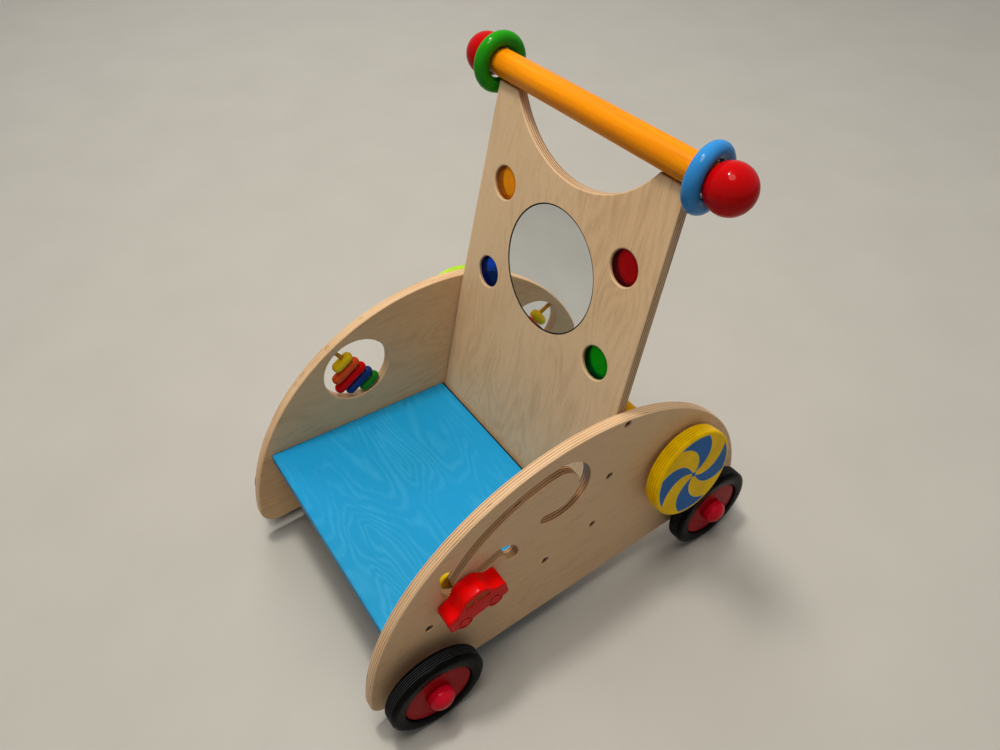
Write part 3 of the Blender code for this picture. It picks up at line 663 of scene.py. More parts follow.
def rubber():
    """Black rubber with the crests of the tread's ribs painted grey: a painted sheen for the light they
    catch.
    """
    mat, t, bsdf = new_material("black_rubber", Specular_IOR_Level=0.028)
    dust = noise(t, (120.0, 120.0, 120.0), 4.0, 0.6)
    black = ramp(t, dust, ((0.35, grey(0.002)), (0.85, (0.006, 0.0058, 0.0056))))
    # painted sheen: the ribs' crests are painted light grey for the light they catch
    depth = calc(t, "DIVIDE", calc(t, "SUBTRACT", TYRE_R, off_axis(t)), RIB_H)
    crest = ramp(t, depth, ((0.12, grey(0.8)), (0.4, BLACK)))
    aside = calc(t, "DIVIDE", calc(t, "ABSOLUTE", local(t)[0]), TYRE_W / 2)
    on_tread = ramp(t, aside, ((0.53, WHITE), (0.57, BLACK)))
    painted_sheen = mix(t, calc(t, "MULTIPLY", crest, on_tread), black, (0.05, 0.05, 0.054))
    feed(t, bsdf, Base_Color=painted_sheen, Roughness=ramp(t, dust, ((0.3, grey(0.18)), (0.8, grey(0.36)))))
    bump(t, bsdf, noise(t, (900.0, 900.0, 900.0)), 0.10, 0.0002)
    return mat


def metal(name, rgb, rough, streak):
    mat, t, bsdf = new_material(name, Metallic=1.0)
    lines = noise(t, streak, 3.0, 0.6)
    feed(t, bsdf, Base_Color=ramp(t, lines, ((0.3, scaled(rgb, 1.1)), (0.8, scaled(rgb, 0.75)))),
         Roughness=ramp(t, lines, ((0.3, grey(rough)), (0.8, grey(rough + 0.15)))))
    bump(t, bsdf, lines, 0.05, 0.0002)
    return mat


def mirror_glass():
    mat, t, bsdf = new_material("mirror_glass", Metallic=1.0)
    smear = noise(t, (18.0, 30.0, 30.0), 5.0, 0.6)
    feed(t, bsdf, Base_Color=ramp(t, smear, ((0.3, (0.86, 0.88, 0.88)), (0.8, (0.80, 0.82, 0.82)))),
         Roughness=ramp(t, smear, ((0.45, grey(0.015)), (0.85, grey(0.07)))))
    return mat


# Painted light on a lens from its centre to its rim: bright rings as painted highlights, darker towards the
# rim as painted shade
LENS_PAINTED_LIGHT = ((0.30, 1.0), (0.44, 0.78), (0.50, 1.2), (0.62, 0.85), (0.70, 1.12), (0.80, 0.68), (1.0, 0.5))


def acrylic(name, rgb, clear):
    """Clear tinted sheet with faint bright rings as painted highlights and a rim darkened as painted shade.
    """
    mat, t, bsdf = new_material(name, IOR=1.01, Transmission_Weight=clear,
                                Coat_Weight=0.1, Coat_Roughness=0.05)
    cloud = noise(t, (90.0, 90.0, 90.0))
    share = calc(t, "ADD", calc(t, "DIVIDE", off_axis(t), LENS_R), sway(t, cloud, 0.12))
    # the tint carries painted highlights in rings and painted shade towards the rim
    feed(t, bsdf, Base_Color=ramp(t, share, [(pos, scaled(rgb, k)) for pos, k in LENS_PAINTED_LIGHT]),
         Roughness=ramp(t, cloud, ((0.3, grey(0.04)), (0.8, grey(0.10)))))
    return mat


BIRCH = (0.73, 0.497, 0.285)
BIRCH_DARK = (0.485, 0.297, 0.15)
FAR_BIRCH = (0.75, 0.485, 0.25)
BACK_BIRCH = (0.785, 0.545, 0.31)
PLIES = ((0.72, 0.485, 0.275), (0.36, 0.17, 0.066))
BACK_PLIES = ((0.62, 0.41, 0.23), (0.20, 0.095, 0.04))
# darker plies for the car track's walls: painted shade inside the narrow slot
SLOT_SHADE_PLIES = ((0.53, 0.305, 0.15), (0.15, 0.056, 0.015))
SEAT_PAINT = ((0.004, 0.262, 0.53), (0.036, 0.345, 0.61))
SEAT_PLIES = ((0.010, 0.22, 0.44), (0.006, 0.13, 0.27))
SLOT_SHADE_WOOD = board("slot_wall_painted_shade", BIRCH, BIRCH_DARK, SLOT_SHADE_PLIES, "u", 2.2, HALF, bands=0.95)
PANEL_WOOD = {
    "left": board("birch_plywood_left", BIRCH, BIRCH_DARK, PLIES, "u", 3.1, HALF),
    "right": board("birch_plywood_right", FAR_BIRCH, BIRCH_DARK, PLIES, "u", 7.4, -OUT),
}
BACK_WOOD = board("birch_plywood_back", BACK_BIRCH, BIRCH_DARK, BACK_PLIES, "v", 5.2, -PLY, bands=0.9)
SEAT_WOOD = board("blue_stained_plywood", *SEAT_PAINT, SEAT_PLIES, "u", 1.3, -PLY, figure=0.18, gloss=0.22)
# painted shade: the seat's side and rear edges, in the narrow gaps at the panels, are near black
SEAT_GAP_SHADE = lacquer("seat_edge_painted_shade", (0.004, 0.03, 0.06), 0.5, 0.0)
BAR_WOOD = turned("orange_stained_beech", (0.90, 0.305, 0.003), (0.76, 0.21, 0.002))
AMBER = turned("amber_beech", (0.72, 0.36, 0.03), (0.52, 0.22, 0.015))
YELLOW_BEECH = turned("yellow_stained_beech", (0.88, 0.46, 0.006), (0.76, 0.36, 0.004))
PALE = turned("pale_beech", (0.70, 0.46, 0.24), (0.52, 0.31, 0.14))
RED = lacquer("red_lacquer", (0.50, 0.0012, 0.002), 0.09, 0.12)
CAP_RED = lacquer("cap_red_lacquer", (0.64, 0.003, 0.020), 0.09, 0.16)
CAR_RED = lacquer("car_red_lacquer", (0.70, 0.0015, 0.0015), 0.10)
CAR_LINE = lacquer("car_engraving", (0.51, 0.072, 0.013), 0.4, 0.0)
CRIMSON = lacquer("wheel_red", (0.345, 0.002, 0.006), 0.28, 0.01)
BLUE = lacquer("blue_lacquer", (0.006, 0.032, 0.20), 0.10, 0.3)
SKY = lacquer("sky_lacquer", (0.028, 0.23, 0.57), 0.10, 0.3)
GREEN = lacquer("green_lacquer", (0.014, 0.27, 0.002), 0.10, 0.25)
BEAD_GREEN = lacquer("bead_green_lacquer", (0.007, 0.22, 0.006), 0.10, 0.3)
YELLOW = lacquer("yellow_lacquer", (0.83, 0.55, 0.008), 0.28)
ORANGE = lacquer("orange_lacquer", (0.74, 0.075, 0.004), 0.10, 0.3)
RIM_PITCH = SPIN_T / 6
LIME = ply_rim(lacquer("lime_lacquer", (0.44, 0.70, 0.03), 0.26), RIM_PITCH, (0.10, 0.12, 0.01))
DISC_YELLOW = ply_rim(lacquer("disc_yellow_lacquer", (0.95, 0.58, 0.001), 0.26, 0.02), RIM_PITCH,
                      (0.10, 0.045, 0.004))
PRINT_BLUE = lacquer("print_blue", (0.018, 0.13, 0.40), 0.32)
PRINT_LINE = lacquer("print_line", (0.36, 0.46, 0.36), 0.32)
BEAD_PAINT = {"green": BEAD_GREEN, "blue": BLUE, "red": CAR_RED, "orange": ORANGE, "yellow": YELLOW}
RUBBER = rubber()
STEEL = metal("steel", (0.55, 0.55, 0.56), 0.25, (8.0, 900.0, 900.0))
BLACK_STEEL = metal("black_steel", (0.14, 0.14, 0.145), 0.24, (500.0, 500.0, 500.0))
MIRROR = mirror_glass()
# painted shade: near black on the mirror's rim and on the recess wall, for the shaded gap round the mirror
MIRROR_GAP_SHADE = lacquer("mirror_gap_painted_shade", (0.02, 0.02, 0.022), 0.5, 0.0)

# Side panels with track or window, and the holes of axles, pegs, rod, cross bar and screws
TRACK, PEG_AT = car_track()
ROD_WAY = Vector((0, math.cos(ROD_STEEP), -math.sin(ROD_STEEP)))
ROD_MID = Vector((-HALF - PLY / 2, WIN_Y, WIN_Z))
from_dome = Vector((0, WIN_Y, WIN_Z - DOME_Z))
across_rod = from_dome.dot(ROD_WAY)
rim_s = -across_rod - math.sqrt(across_rod ** 2 - from_dome.length_squared + PANEL_R ** 2)
foot_s = WIN_R + PLY
SCREWS = [on_seat(k * SEAT_L, -PLY / 2) for k in SEAT_SCREWS]
SCREWS += [on_back(0, k * PANEL_R, -PLY / 2) for k in BACK_SCREWS]
TRACK_EDGE = 0.0011
WINDOW_EDGE = 0.0012
seat_tools = []
back_tools = []
for tag, sx in SIDES:
    y, z = SPIN_AT[tag]
    drop = (SPIN_FACE_X - OUT + PLY / 2) * math.tan(SPIN_TILT[tag])
    holes = [(circle(wheel_y, TYRE_R, AXLE_R + GAP, 32), FINE_EDGE, 0) for _, wheel_y in AXLES]
    holes.append((circle(y, z - drop, SPIN_HOLE_R, 40), FINE_EDGE, 0))
    # the slot's walls take the second material, darkened as painted shade
    holes.append((TRACK, TRACK_EDGE, 1) if sx > 0 else (circle(WIN_Y, WIN_Z, WIN_R, 112), WINDOW_EDGE, 0))
    w0 = HALF if sx > 0 else -OUT
    panel = plate(tag + "_side_panel_look", dome(), holes, w0, w0 + PLY, side(0))
    tools = [drill((sx * (HALF - PLY), CROSS_Y, CROSS_Z), (sx, 0, 0), CROSS_R + GAP, PLY + CROSS_IN, 48)]
    for i, p in enumerate(SCREWS):
        seat_x = OUT - SCREW_SINK - SCREW_HEAD_T - GAP
        prof = ((0, HALF - PLY), (SCREW_R + GAP, HALF - PLY), (SCREW_R + GAP, seat_x),
                (SCREW_HEAD_R + GAP, seat_x), (SCREW_HEAD_R + GAP, OUT - 2 * GAP),
                (SCREW_HEAD_R + 4 * GAP, OUT + GAP), (0, OUT + GAP))
        tools.append(lathe("tool", prof, 28, at(0, p.y, p.z) @ facing(sx)))
        tip = OUT - SCREW_SINK - SCREW_L
        hole = drill((sx * (tip - GAP), p.y, p.z), (sx, 0, 0), SCREW_R + GAP, SCREW_L, 16)
        (seat_tools if i < len(SEAT_SCREWS) else back_tools).append(hole)
    if sx < 0:
        tools.append(drill(ROD_MID + ROD_WAY * (rim_s - PLY), ROD_WAY, ROD_R + GAP, foot_s + PLY - rim_s))
    cut(panel, tools, PANEL_WOOD[tag], SLOT_SHADE_WOOD)
    wear(panel, PANEL_WOOD[tag], "frame", tag + "_side_panel", "birch_plywood", SLOT_SHADE_WOOD)
bead_rod = rod("bead_rod_look", ROD_R, rim_s + GAP, foot_s - GAP, aimed(ROD_MID, ROD_WAY))
for f in bead_rod.data.polygons:
    f.material_index = 1 if f.normal.x < -0.8 else 0
wear(bead_rod, AMBER, "frame", "bead_rod", "amber_beech", PALE)

# Seat board
SEAT_CORNER = 0.0012
SEAT_EDGE = 0.001
JOINT_SHADE = 0.0029     # width of the painted shadow along the gap at the back panel, a little wider than the rounded edge
wide = HALF - GAP
rear = -GAP - max(0.0, PLY * math.tan(BACK_LEAN - SEAT_PITCH))
corners = [(x, v, SEAT_CORNER) for x, v in ((-wide, -SEAT_L), (wide, -SEAT_L), (wide, rear), (-wide, rear))]
seat = plate("seat_board_look", rounded(corners, 4), [], -PLY, 0, SEAT, SEAT_EDGE)
# side and rear edges get the painted shade
for f in seat.data.polygons:
    f.material_index = 1 if abs(f.normal.z) < 0.5 and f.normal.y > -0.5 else 0
# painted shadow of the gap between the seat and the back panel
shadow_line(SEAT_WOOD, rear, JOINT_SHADE, (0.003, 0.014, 0.02))
cut(seat, seat_tools, SEAT_WOOD, SEAT_GAP_SHADE)
wear(seat, SEAT_WOOD, "frame", "seat_board", "blue_stained_plywood", SEAT_GAP_SHADE)

# Back panel with the cut-out under the bar, lens holes, mirror recess and dowel holes
narrow = wide - BACK_TAPER
lip = math.sqrt(CUT_R ** 2 - (CUT_S - BACK_S) ** 2)
sunk = math.asin((CUT_S - BACK_S) / CUT_R)
half_line = [Vector((wide, -PLY)), Vector((wide, TAPER_FROM)), Vector((narrow, BACK_S - EDGE)),
             Vector((narrow - EDGE, BACK_S))]
shape = half_line + arc(0, CUT_S, CUT_R, -sunk, sunk - math.pi, 96)
shape += [Vector((-p.x, p.y)) for p in reversed(half_line)]
lens_at = [(x, s) for s in LENS_S for x in (-LENS_X, LENS_X)]
LENS_EDGE = 0.0013
holes = [(circle(x, s, LENS_R + GAP, 72), LENS_EDGE, 0) for x, s in lens_at]
back = plate("back_panel_look", shape, holes, -PLY, 0, BACK)
recess = drill(on_back(0, MIRROR_S, -MIRROR_T - GAP), FRONT, MIRROR_R + 3 * GAP, PLY, 128)
# the recess wall is painted near black as painted shade
for f in recess.data.polygons:
    f.material_index = 1
back_tools.append(recess)
horn_x = (lip + narrow) / 2
for _, sx in SIDES:
    start = on_back(sx * horn_x, BACK_S - PIN_L / 2 - GAP, -PLY / 2)
    back_tools.append(drill(start, SLOPE, PIN_R + GAP, PIN_L, 24))
cut(back, back_tools, BACK_WOOD, MIRROR_GAP_SHADE)
wear(back, BACK_WOOD, "frame", "back_panel", "birch_plywood", MIRROR_GAP_SHADE)

# Mirror and tinted lenses
bright = MIRROR_R - MIRROR_SHADE_RIM
face = [(0, -MIRROR_T), (MIRROR_R, -MIRROR_T), (MIRROR_R, -2 * GAP)]
MIRROR_STEPS = 16
for k in range(MIRROR_STEPS, -1, -1):
    share = k / MIRROR_STEPS
    face.append((bright * share, -2 * GAP - MIRROR_DISH * (1 - share ** 2)))
glass = lathe("mirror_look", face, 128, aimed(on_back(0, MIRROR_S), FRONT))
# the sheet's rim and sides take the painted shade
for f in glass.data.polygons:
    f.material_index = 0 if f.normal.x > 0.99 and f.center.yz.length < bright else 1
wear(glass, MIRROR, "frame", "mirror", "mirror", MIRROR_GAP_SHADE)
TINTS = (("blue", (0.006, 0.075, 0.70), 0.96), ("green", (0.001, 0.29, 0.001), 0.96),
         ("orange", (1.0, 0.34, 0.006), 0.8), ("red", (0.40, 0.003, 0.006), 0.96))
LENS_RISE = 0.0014      # height of the lens's dome
LENS_STEPS = 10
for (tint, rgb, clear), (x, s) in zip(TINTS, lens_at):
    prof = [(0, -LENS_SET - LENS_T), (LENS_R, -LENS_SET - LENS_T), (LENS_R, -LENS_SET - LENS_RISE)]
    for k in range(LENS_STEPS - 1, -1, -1):
        share = k / LENS_STEPS
        prof.append((LENS_R * share, -LENS_SET - LENS_RISE * share ** 2))
    lens = lathe("lens_%s_look" % tint, prof, 64, aimed(on_back(x, s), FRONT))
    wear(lens, acrylic(tint + "_acrylic", rgb, clear), "frame", "lens_" + tint, tint + "_acrylic")

# Push bar, dowels, end knobs and loose rings
BAR_EDGE = 0.0008
KNOB_STEPS = 36
RING_STEPS = 32
bar_at = on_back(0, BACK_S + BAR_R + GAP, -PLY / 2)
flat = KNOB_X - math.sqrt(KNOB_R ** 2 - BAR_R ** 2)
prof = ((0, -KNOB_X), (TENON_R, -KNOB_X), (TENON_R, -flat), (BAR_R, -flat),
        (BAR_R, flat), (TENON_R, flat), (TENON_R, KNOB_X), (0, KNOB_X))
bar = lathe("push_bar_look", soften(prof, BAR_EDGE), 80, at(*bar_at))
bar_tools = []
for tag, sx in SIDES:
    put = aimed(on_back(sx * horn_x, BACK_S, -PLY / 2), SLOPE)
    wear(rod(tag + "_bar_pin_look", PIN_R, -PIN_L / 2, PIN_L / 2, put, 24),
         AMBER, "frame", tag + "_bar_pin", "amber_beech")
    start = on_back(sx * horn_x, BACK_S - BAR_R, -PLY / 2)
    bar_tools.append(drill(start, SLOPE, PIN_R + GAP, PIN_L / 2 + BAR_R + GAP, 24))
    bore = TENON_R + GAP
    mouth = math.pi - math.asin(BAR_R / KNOB_R)
    turns = [mouth * (1 - i / KNOB_STEPS) for i in range(KNOB_STEPS)]
    prof = [(0, GAP), (bore, GAP), (bore, flat - KNOB_X + GAP), (BAR_R - GAP, flat - KNOB_X + GAP)]
    prof += [(KNOB_R * math.sin(t), KNOB_R * math.cos(t)) for t in turns[1:]] + [(0, KNOB_R)]
    knob = lathe(tag + "_bar_knob_look", prof, 72, at(sx * KNOB_X, bar_at.y, bar_at.z) @ facing(sx))
    wear(knob, RED, "frame", tag + "_bar_knob", "red_lacquer")
    hang = RING_MAJOR - RING_TUBE - BAR_R - GAP
    turns = [2 * math.pi * i / RING_STEPS for i in range(RING_STEPS)]
    prof = [(RING_MAJOR + RING_TUBE * math.cos(t), RING_TUBE * math.sin(t)) for t in turns]
    yaw = RING_YAW if sx > 0 else 0.0
    put = at(sx * RING_X, bar_at.y, bar_at.z - hang) @ Matrix.Rotation(yaw, 4, "Z")
    ring = lathe(tag + "_bar_ring_look", prof, 96, put, closed=True, angle=60.0)
    paint = ("sky_lacquer", SKY) if sx > 0 else ("green_lacquer", GREEN)
    wear(ring, paint[1], tag + "_ring", tag + "_bar_ring", paint[0])
cut(bar, bar_tools)
wear(bar, BAR_WOOD, "frame", "push_bar", "orange_stained_beech")

# Axles, wheels, grooved tyres and domed hub caps
CAP_ROOM = 0.004        # flat ring round the hub cap
BORE_EDGE = 0.0004
LIP_EDGE = (0.0004, 0.0005)     # radial and sideways
half = TYRE_W / 2
inner = half - DISC_SET
bore = AXLE_R + GAP
boss_end = OUT + 2 * GAP - WHEEL_X
rim_r = DISC_R - GAP
lip_w = DISC_SET * 0.75
corners = ((bore, inner), (bore, boss_end), (BOSS_R, boss_end), (BOSS_R, -inner), (rim_r, -inner),
           (rim_r, inner - lip_w), (rim_r - lip_w, inner), (CAP_R + CAP_ROOM, inner),
           (bore + BORE_EDGE, inner))
WHEEL = soften(corners, FINE_EDGE)
RIBS = 5
RIB_PITCH = 0.0021
RIB_STEPS = 8
tread = []
for k in range(RIBS * RIB_STEPS + 1):
    share = k / RIB_STEPS
    groove = RIB_H * (0.5 + 0.5 * math.cos(2 * math.pi * share))
    tread.append((TYRE_R - groove, (share - RIBS / 2) * RIB_PITCH))
SHOULDER = (0.0062, 0.0042)     # radial and sideways
SHOULDER_STEPS = 8
wall = []
for k in range(SHOULDER_STEPS + 1):
    a = math.pi / 2 * k / SHOULDER_STEPS
    wall.append((TYRE_R - SHOULDER[0] * (1 - math.cos(a)), half - SHOULDER[1] * (1 - math.sin(a))))
wall += [(TYRE_R - SHOULDER[0] - HOLD, half), (DISC_R + lip_w, half),
         (DISC_R + LIP_EDGE[0], half - LIP_EDGE[1]), (DISC_R, half - lip_w)]
TYRE = [(r, -x) for r, x in reversed(wall)] + tread + wall
CAP_WALL = 0.35         # straight part of the cap's height
CAP_STEPS = 18
cap_line = [(0.97, 0.0), (1.0, 0.03), (1.0, CAP_WALL)]     # shares of the cap's radius and height
for k in range(1, CAP_STEPS):
    a = math.pi / 2 * k / CAP_STEPS
    cap_line.append((math.cos(a), CAP_WALL + (1 - CAP_WALL) * math.sin(a)))
cap_line.append((0, 1))
CAP = [(0, AXLE_END + GAP), (bore, AXLE_END + GAP), (bore, 0)]
CAP += [(CAP_R * r, CAP_T * x) for r, x in cap_line]
for end, y in AXLES:
    span = WHEEL_X + inner + AXLE_END
    axle = rod(end + "_axle_look", AXLE_R, -span, span, at(0, y, TYRE_R), 40)
    wear(axle, STEEL, "frame", end + "_axle", "steel")
    for tag, sx in SIDES:
        name = "%s_%s_" % (end, tag)
        put = at(sx * WHEEL_X, y, TYRE_R) @ facing(sx)
        body = name + "wheel_body"
        wheel = lathe(name + "wheel_look", WHEEL, 96, put, closed=True)
        wear(wheel, CRIMSON, body, name + "wheel", "wheel_red")
        tyre = lathe(name + "tyre_look", TYRE, 128, put, closed=True, angle=50.0)
        wear(tyre, RUBBER, body, name + "tyre", "rubber")
        cap = lathe(name + "hub_cap_look", CAP, 56, put @ at(inner + GAP, 0, 0))
        wear(cap, CAP_RED, "frame", name + "hub_cap", "red_lacquer")


# Spinning discs

BLADE_ENDS = (0.07, 0.925)      # shares of the disc's radius
# Angle of a blade's edges in degrees: at the centre, by the share of the radius, by its square
KEEN = (47, 62, 12)
BLUNT = (25, 3, 45)
BLADE_STEPS = 26
TIP_STEPS = 16


def edge_angle(curve, share):
    return math.radians(curve[0] + curve[1] * share + curve[2] * share * share)


def on_disc(share, a):
    return Vector((share * SPIN_R * math.cos(a), share * SPIN_R * math.sin(a)))


def blade(turn):
    """One curved pinwheel blade in local (y, z), from near the centre to the rim."""
    r0, r1 = BLADE_ENDS
    shares = [r0 + (r1 - r0) * i / BLADE_STEPS for i in range(BLADE_STEPS + 1)]
    keen = [on_disc(r, turn + edge_angle(KEEN, r)) for r in shares]
    blunt = [on_disc(r, turn + edge_angle(BLUNT, r)) for r in shares]
    a0 = turn + edge_angle(BLUNT, r1)
    a1 = turn + edge_angle(KEEN, r1)
    end = [on_disc(r1, a0 + (a1 - a0) * i / TIP_STEPS) for i in range(1, TIP_STEPS)]
    return blunt + end + keen[::-1]


def fill(bm, loops, index):
    """Flat face between loops of vertices."""
    edges = []
    for loop in loops:
        for a, b in zip(loop, loop[1:] + loop[:1]):
            edges.append(bm.edges.get((a, b)) or bm.edges.new((a, b)))
    made = bmesh.ops.triangle_fill(bm, use_beauty=True, edges=edges)["geom"]
    for f in made:
        if isinstance(f, bmesh.types.BMFace):
            f.material_index = index


LINE_W = 0.0005         # pale line round the print
BLADES = 4
SPIN_CAP_EDGE = 0.0015
SPIN_CAP_SOFT = 0.0012
edge_turns = [math.pi / 2 * k / 5 for k in range(6)]
bore = SPIN_PEG_R + GAP
deep = SPIN_GLUE - SPIN_T
DISC = [(0, deep), (bore, deep), (bore, -SPIN_T), (SPIN_R - SPIN_EDGE - HOLD, -SPIN_T)]
for t in edge_turns:
    DISC.append((SPIN_R - SPIN_EDGE * (1 - math.sin(t)), -SPIN_T + SPIN_EDGE * (1 - math.cos(t))))
for t in edge_turns:
    DISC.append((SPIN_R - SPIN_EDGE * (1 - math.cos(t)), -SPIN_EDGE * (1 - math.sin(t))))
DISC += [(SPIN_R - SPIN_EDGE - HOLD, 0), (0, 0)]
for tag, sx in SIDES:
    y, z = SPIN_AT[tag]
    tilt = SPIN_TILT[tag]
    put = at(sx * SPIN_FACE_X, y, z) @ facing(sx) @ Matrix.Rotation(-tilt, 4, "Y")
    paint = ("yellow_lacquer", DISC_YELLOW) if sx > 0 else ("lime_lacquer", LIME)
    disc = lathe(tag + "_spin_disc_look", DISC, 112, put)
    wear(disc, paint[1], tag + "_spinner", tag + "_spin_disc", paint[0])
    if sx > 0:
        bm = bmesh.new()
        bm.from_mesh(disc.data)
        bm.verts.ensure_lookup_table()
        pole = [v for v in bm.verts if v.co.yz.length < 1e-6 and abs(v.co.x) < 1e-6]
        bmesh.ops.delete(bm, geom=pole, context="VERTS")
        rim_loop = sorted((v for v in bm.verts if abs(v.co.x) < 1e-7 and v.is_boundary),
                          key=lambda v: math.atan2(v.co.z, v.co.y))
        line = []
        for k in range(BLADES):
            line += blade(2 * math.pi * k / BLADES)
        ring_out = [bm.verts.new((0, p.x, p.y)) for p in line]
        ring_in = [bm.verts.new((0, p.x, p.y)) for p in inset(line, LINE_W)]
        n = len(line)
        for i in range(n):
            j = (i + 1) % n
            bm.faces.new((ring_out[i], ring_out[j], ring_in[j], ring_in[i])).material_index = 2
        fill(bm, [ring_in], 1)
        fill(bm, [rim_loop, ring_out], 0)
        bmesh.ops.recalc_face_normals(bm, faces=bm.faces)
        bm.to_mesh(disc.data)
        bm.free()
        disc.data.materials.append(PRINT_BLUE)
        disc.data.materials.append(PRINT_LINE)
        shade(disc.data)
    reach = (SPIN_FACE_X - HALF) / math.cos(tilt) + SPIN_CAP_R * math.tan(tilt) + 2 * GAP
    tip = -reach - SPIN_CAP_T * 0.6
    peg = rod(tag + "_spin_peg_look", SPIN_PEG_R, tip + GAP, deep - GAP, put, 40)
    wear(peg, AMBER, tag + "_spinner", tag + "_spin_peg", "amber_beech")
    low = -reach - SPIN_CAP_T
    prof = [(0, low), (SPIN_CAP_R - SPIN_CAP_EDGE, low), (SPIN_CAP_R, low + SPIN_CAP_EDGE),
            (SPIN_CAP_R, -reach), (bore, -reach), (bore, tip), (0, tip)]
    cap = lathe(tag + "_spin_cap_look", soften(prof, SPIN_CAP_SOFT), 56, put)
    wear(cap, AMBER, tag + "_spinner", tag + "_spin_cap", "amber_beech")

# Round bar between the side panels
span = HALF + CROSS_IN - GAP
wear(rod("rear_cross_bar_look", CROSS_R, -span, span, at(0, CROSS_Y, CROSS_Z), 56),
     YELLOW_BEECH, "frame", "rear_cross_bar", "amber_beech")

# Swinging beads on the rod
BEAD_STEPS = 10
hang = Vector((0, ROD_WAY.z, -ROD_WAY.y))
for i, (paint, share) in enumerate(BEADS):
    tail = share * WIN_R
    where = ROD_MID + ROD_WAY * (BEAD_LOW - i * (2 * BEAD_R + GAP))
    turns = [math.pi / 2 * k / BEAD_STEPS for k in range(1, BEAD_STEPS + 1)]
    round_end = [(BEAD_R * math.sin(t), BEAD_R * (1 - math.cos(t))) for t in turns]
    prof = [(0, -BEAD_TOP)] + [(r, x - BEAD_TOP) for r, x in round_end]
    prof += [(r, tail - x) for r, x in reversed(round_end)] + [(0, tail)]
    bead = lathe("bead_%s_look" % paint, prof, 40, aimed(where, hang))
    cut(bead, [drill(where - ROD_WAY * 2 * BEAD_R, ROD_WAY, BEAD_HOLE_R, 4 * BEAD_R, 24)])
    wear(bead, BEAD_PAINT[paint], paint + "_bead", "bead_" + paint, paint + "_lacquer")

# Track car with engraved panes and wheels, its peg and its inner knob
CAR_EDGE = 0.0018
PANE_EDGE = 0.0003
WHEEL_GROOVE = (0.6, 0.78)      # shares of the wheel's radius
CAR_KNOB_SOFT = 0.002
car_x = OUT + CAR_OFF
car_put = at(car_x, PEG_AT.x, PEG_AT.y) @ Matrix.Rotation(CAR_PITCH, 4, "X")
car_flat = car_put @ side(0)
peg_uv = Vector((PEG_U, PEG_V))
half = CAR_L / 2
corners = ((-half, 0, 0.004), (half, 0, 0.004), (half, CAR_TAIL, 0.006),
           (half * 0.64, CAR_TAIL + 0.002, 0.008),
           (half * 0.36, CAR_ROOF, 0.011), (-half * 0.25, CAR_ROOF, 0.013),
           (-half * 0.58, CAR_NOSE + 0.0065, 0.010), (-half, CAR_NOSE + 0.002, 0.008))
outline = rounded(corners, 10)
sill = [i for i, p in enumerate(outline) if p.x < 0 and abs(p.y) < GAP][-1]
dip = math.asin(CAR_WHEEL_V / CAR_WHEEL_R)
wells = []
for u in (-CAR_WHEEL_U, CAR_WHEEL_U):
    wells += arc(u, CAR_WHEEL_V, CAR_WHEEL_R, math.pi + dip, 2 * math.pi - dip, 20)
outline[sill + 1:sill + 1] = wells
car = plate("track_car_look", [p - peg_uv for p in outline], [], 0, CAR_T, car_flat, CAR_EDGE)
slant = half * 0.12
panes = ((-half * 0.38, -half * 0.045, slant, 0.0), (half * 0.045, half * 0.5, 0.0, -half * 0.2))
tools = []
for u0, u1, lean0, lean1 in panes:
    pane = ((u0, CAR_PANES, 0.001), (u1, CAR_PANES, 0.001),
            (u1 + lean1, PANE_TOP, 0.002), (u0 + lean0, PANE_TOP, 0.002))
    loop = [p - peg_uv for p in rounded(pane, 6)]
    tools.append(plate("tool", loop, [], CAR_T - CAR_CUT, CAR_T + CAR_CUT, car_flat, PANE_EDGE, 2))
inner_r, outer_r = (CAR_WHEEL_R * share for share in WHEEL_GROOVE)
floor_w = CAR_T - CAR_CUT
groove = ((inner_r, floor_w), (outer_r, floor_w), (outer_r, CAR_T + CAR_CUT), (inner_r, CAR_T + CAR_CUT))
for u in (-CAR_WHEEL_U, CAR_WHEEL_U):
    tools.append(lathe("tool", groove, 48, car_put @ at(0, u - PEG_U, CAR_WHEEL_V - PEG_V), closed=True))
tools.append(drill((car_x - CAR_PEG_IN, PEG_AT.x, PEG_AT.y), (1, 0, 0), CAR_PEG_R + GAP, 2 * CAR_PEG_IN, 32))
cut(car, tools)
for f in car.data.polygons:
    if f.normal.z > 0.99 and f.center.z < CAR_T - CAR_CUT / 2:
        f.material_index = 1
wear(car, CAR_RED, "car", "track_car", "red_lacquer", CAR_LINE)
knob_x = HALF - 2 * GAP
put = at(knob_x, PEG_AT.x, PEG_AT.y)
peg = rod("track_car_peg_look", CAR_PEG_R, -KNOB_PEG_IN, car_x + CAR_PEG_IN - GAP - knob_x, put, 36)
wear(peg, AMBER, "car_slider", "track_car_peg", "amber_beech")
bore = CAR_PEG_R + GAP
KNOB_SHAPE = ((0.0, 1.0), (0.66, 1.0), (0.92, 0.8), (1.0, 0.5), (0.95, 0.0))
prof = [(CAR_KNOB_R * r, -CAR_KNOB_T * x) for r, x in KNOB_SHAPE]
prof += [(bore, 0), (bore, -KNOB_PEG_IN - GAP), (0, -KNOB_PEG_IN - GAP)]
knob = lathe("track_car_knob_look", soften(prof, CAR_KNOB_SOFT, 4), 56, put)
wear(knob, YELLOW, "car_slider", "track_car_knob", "yellow_lacquer")

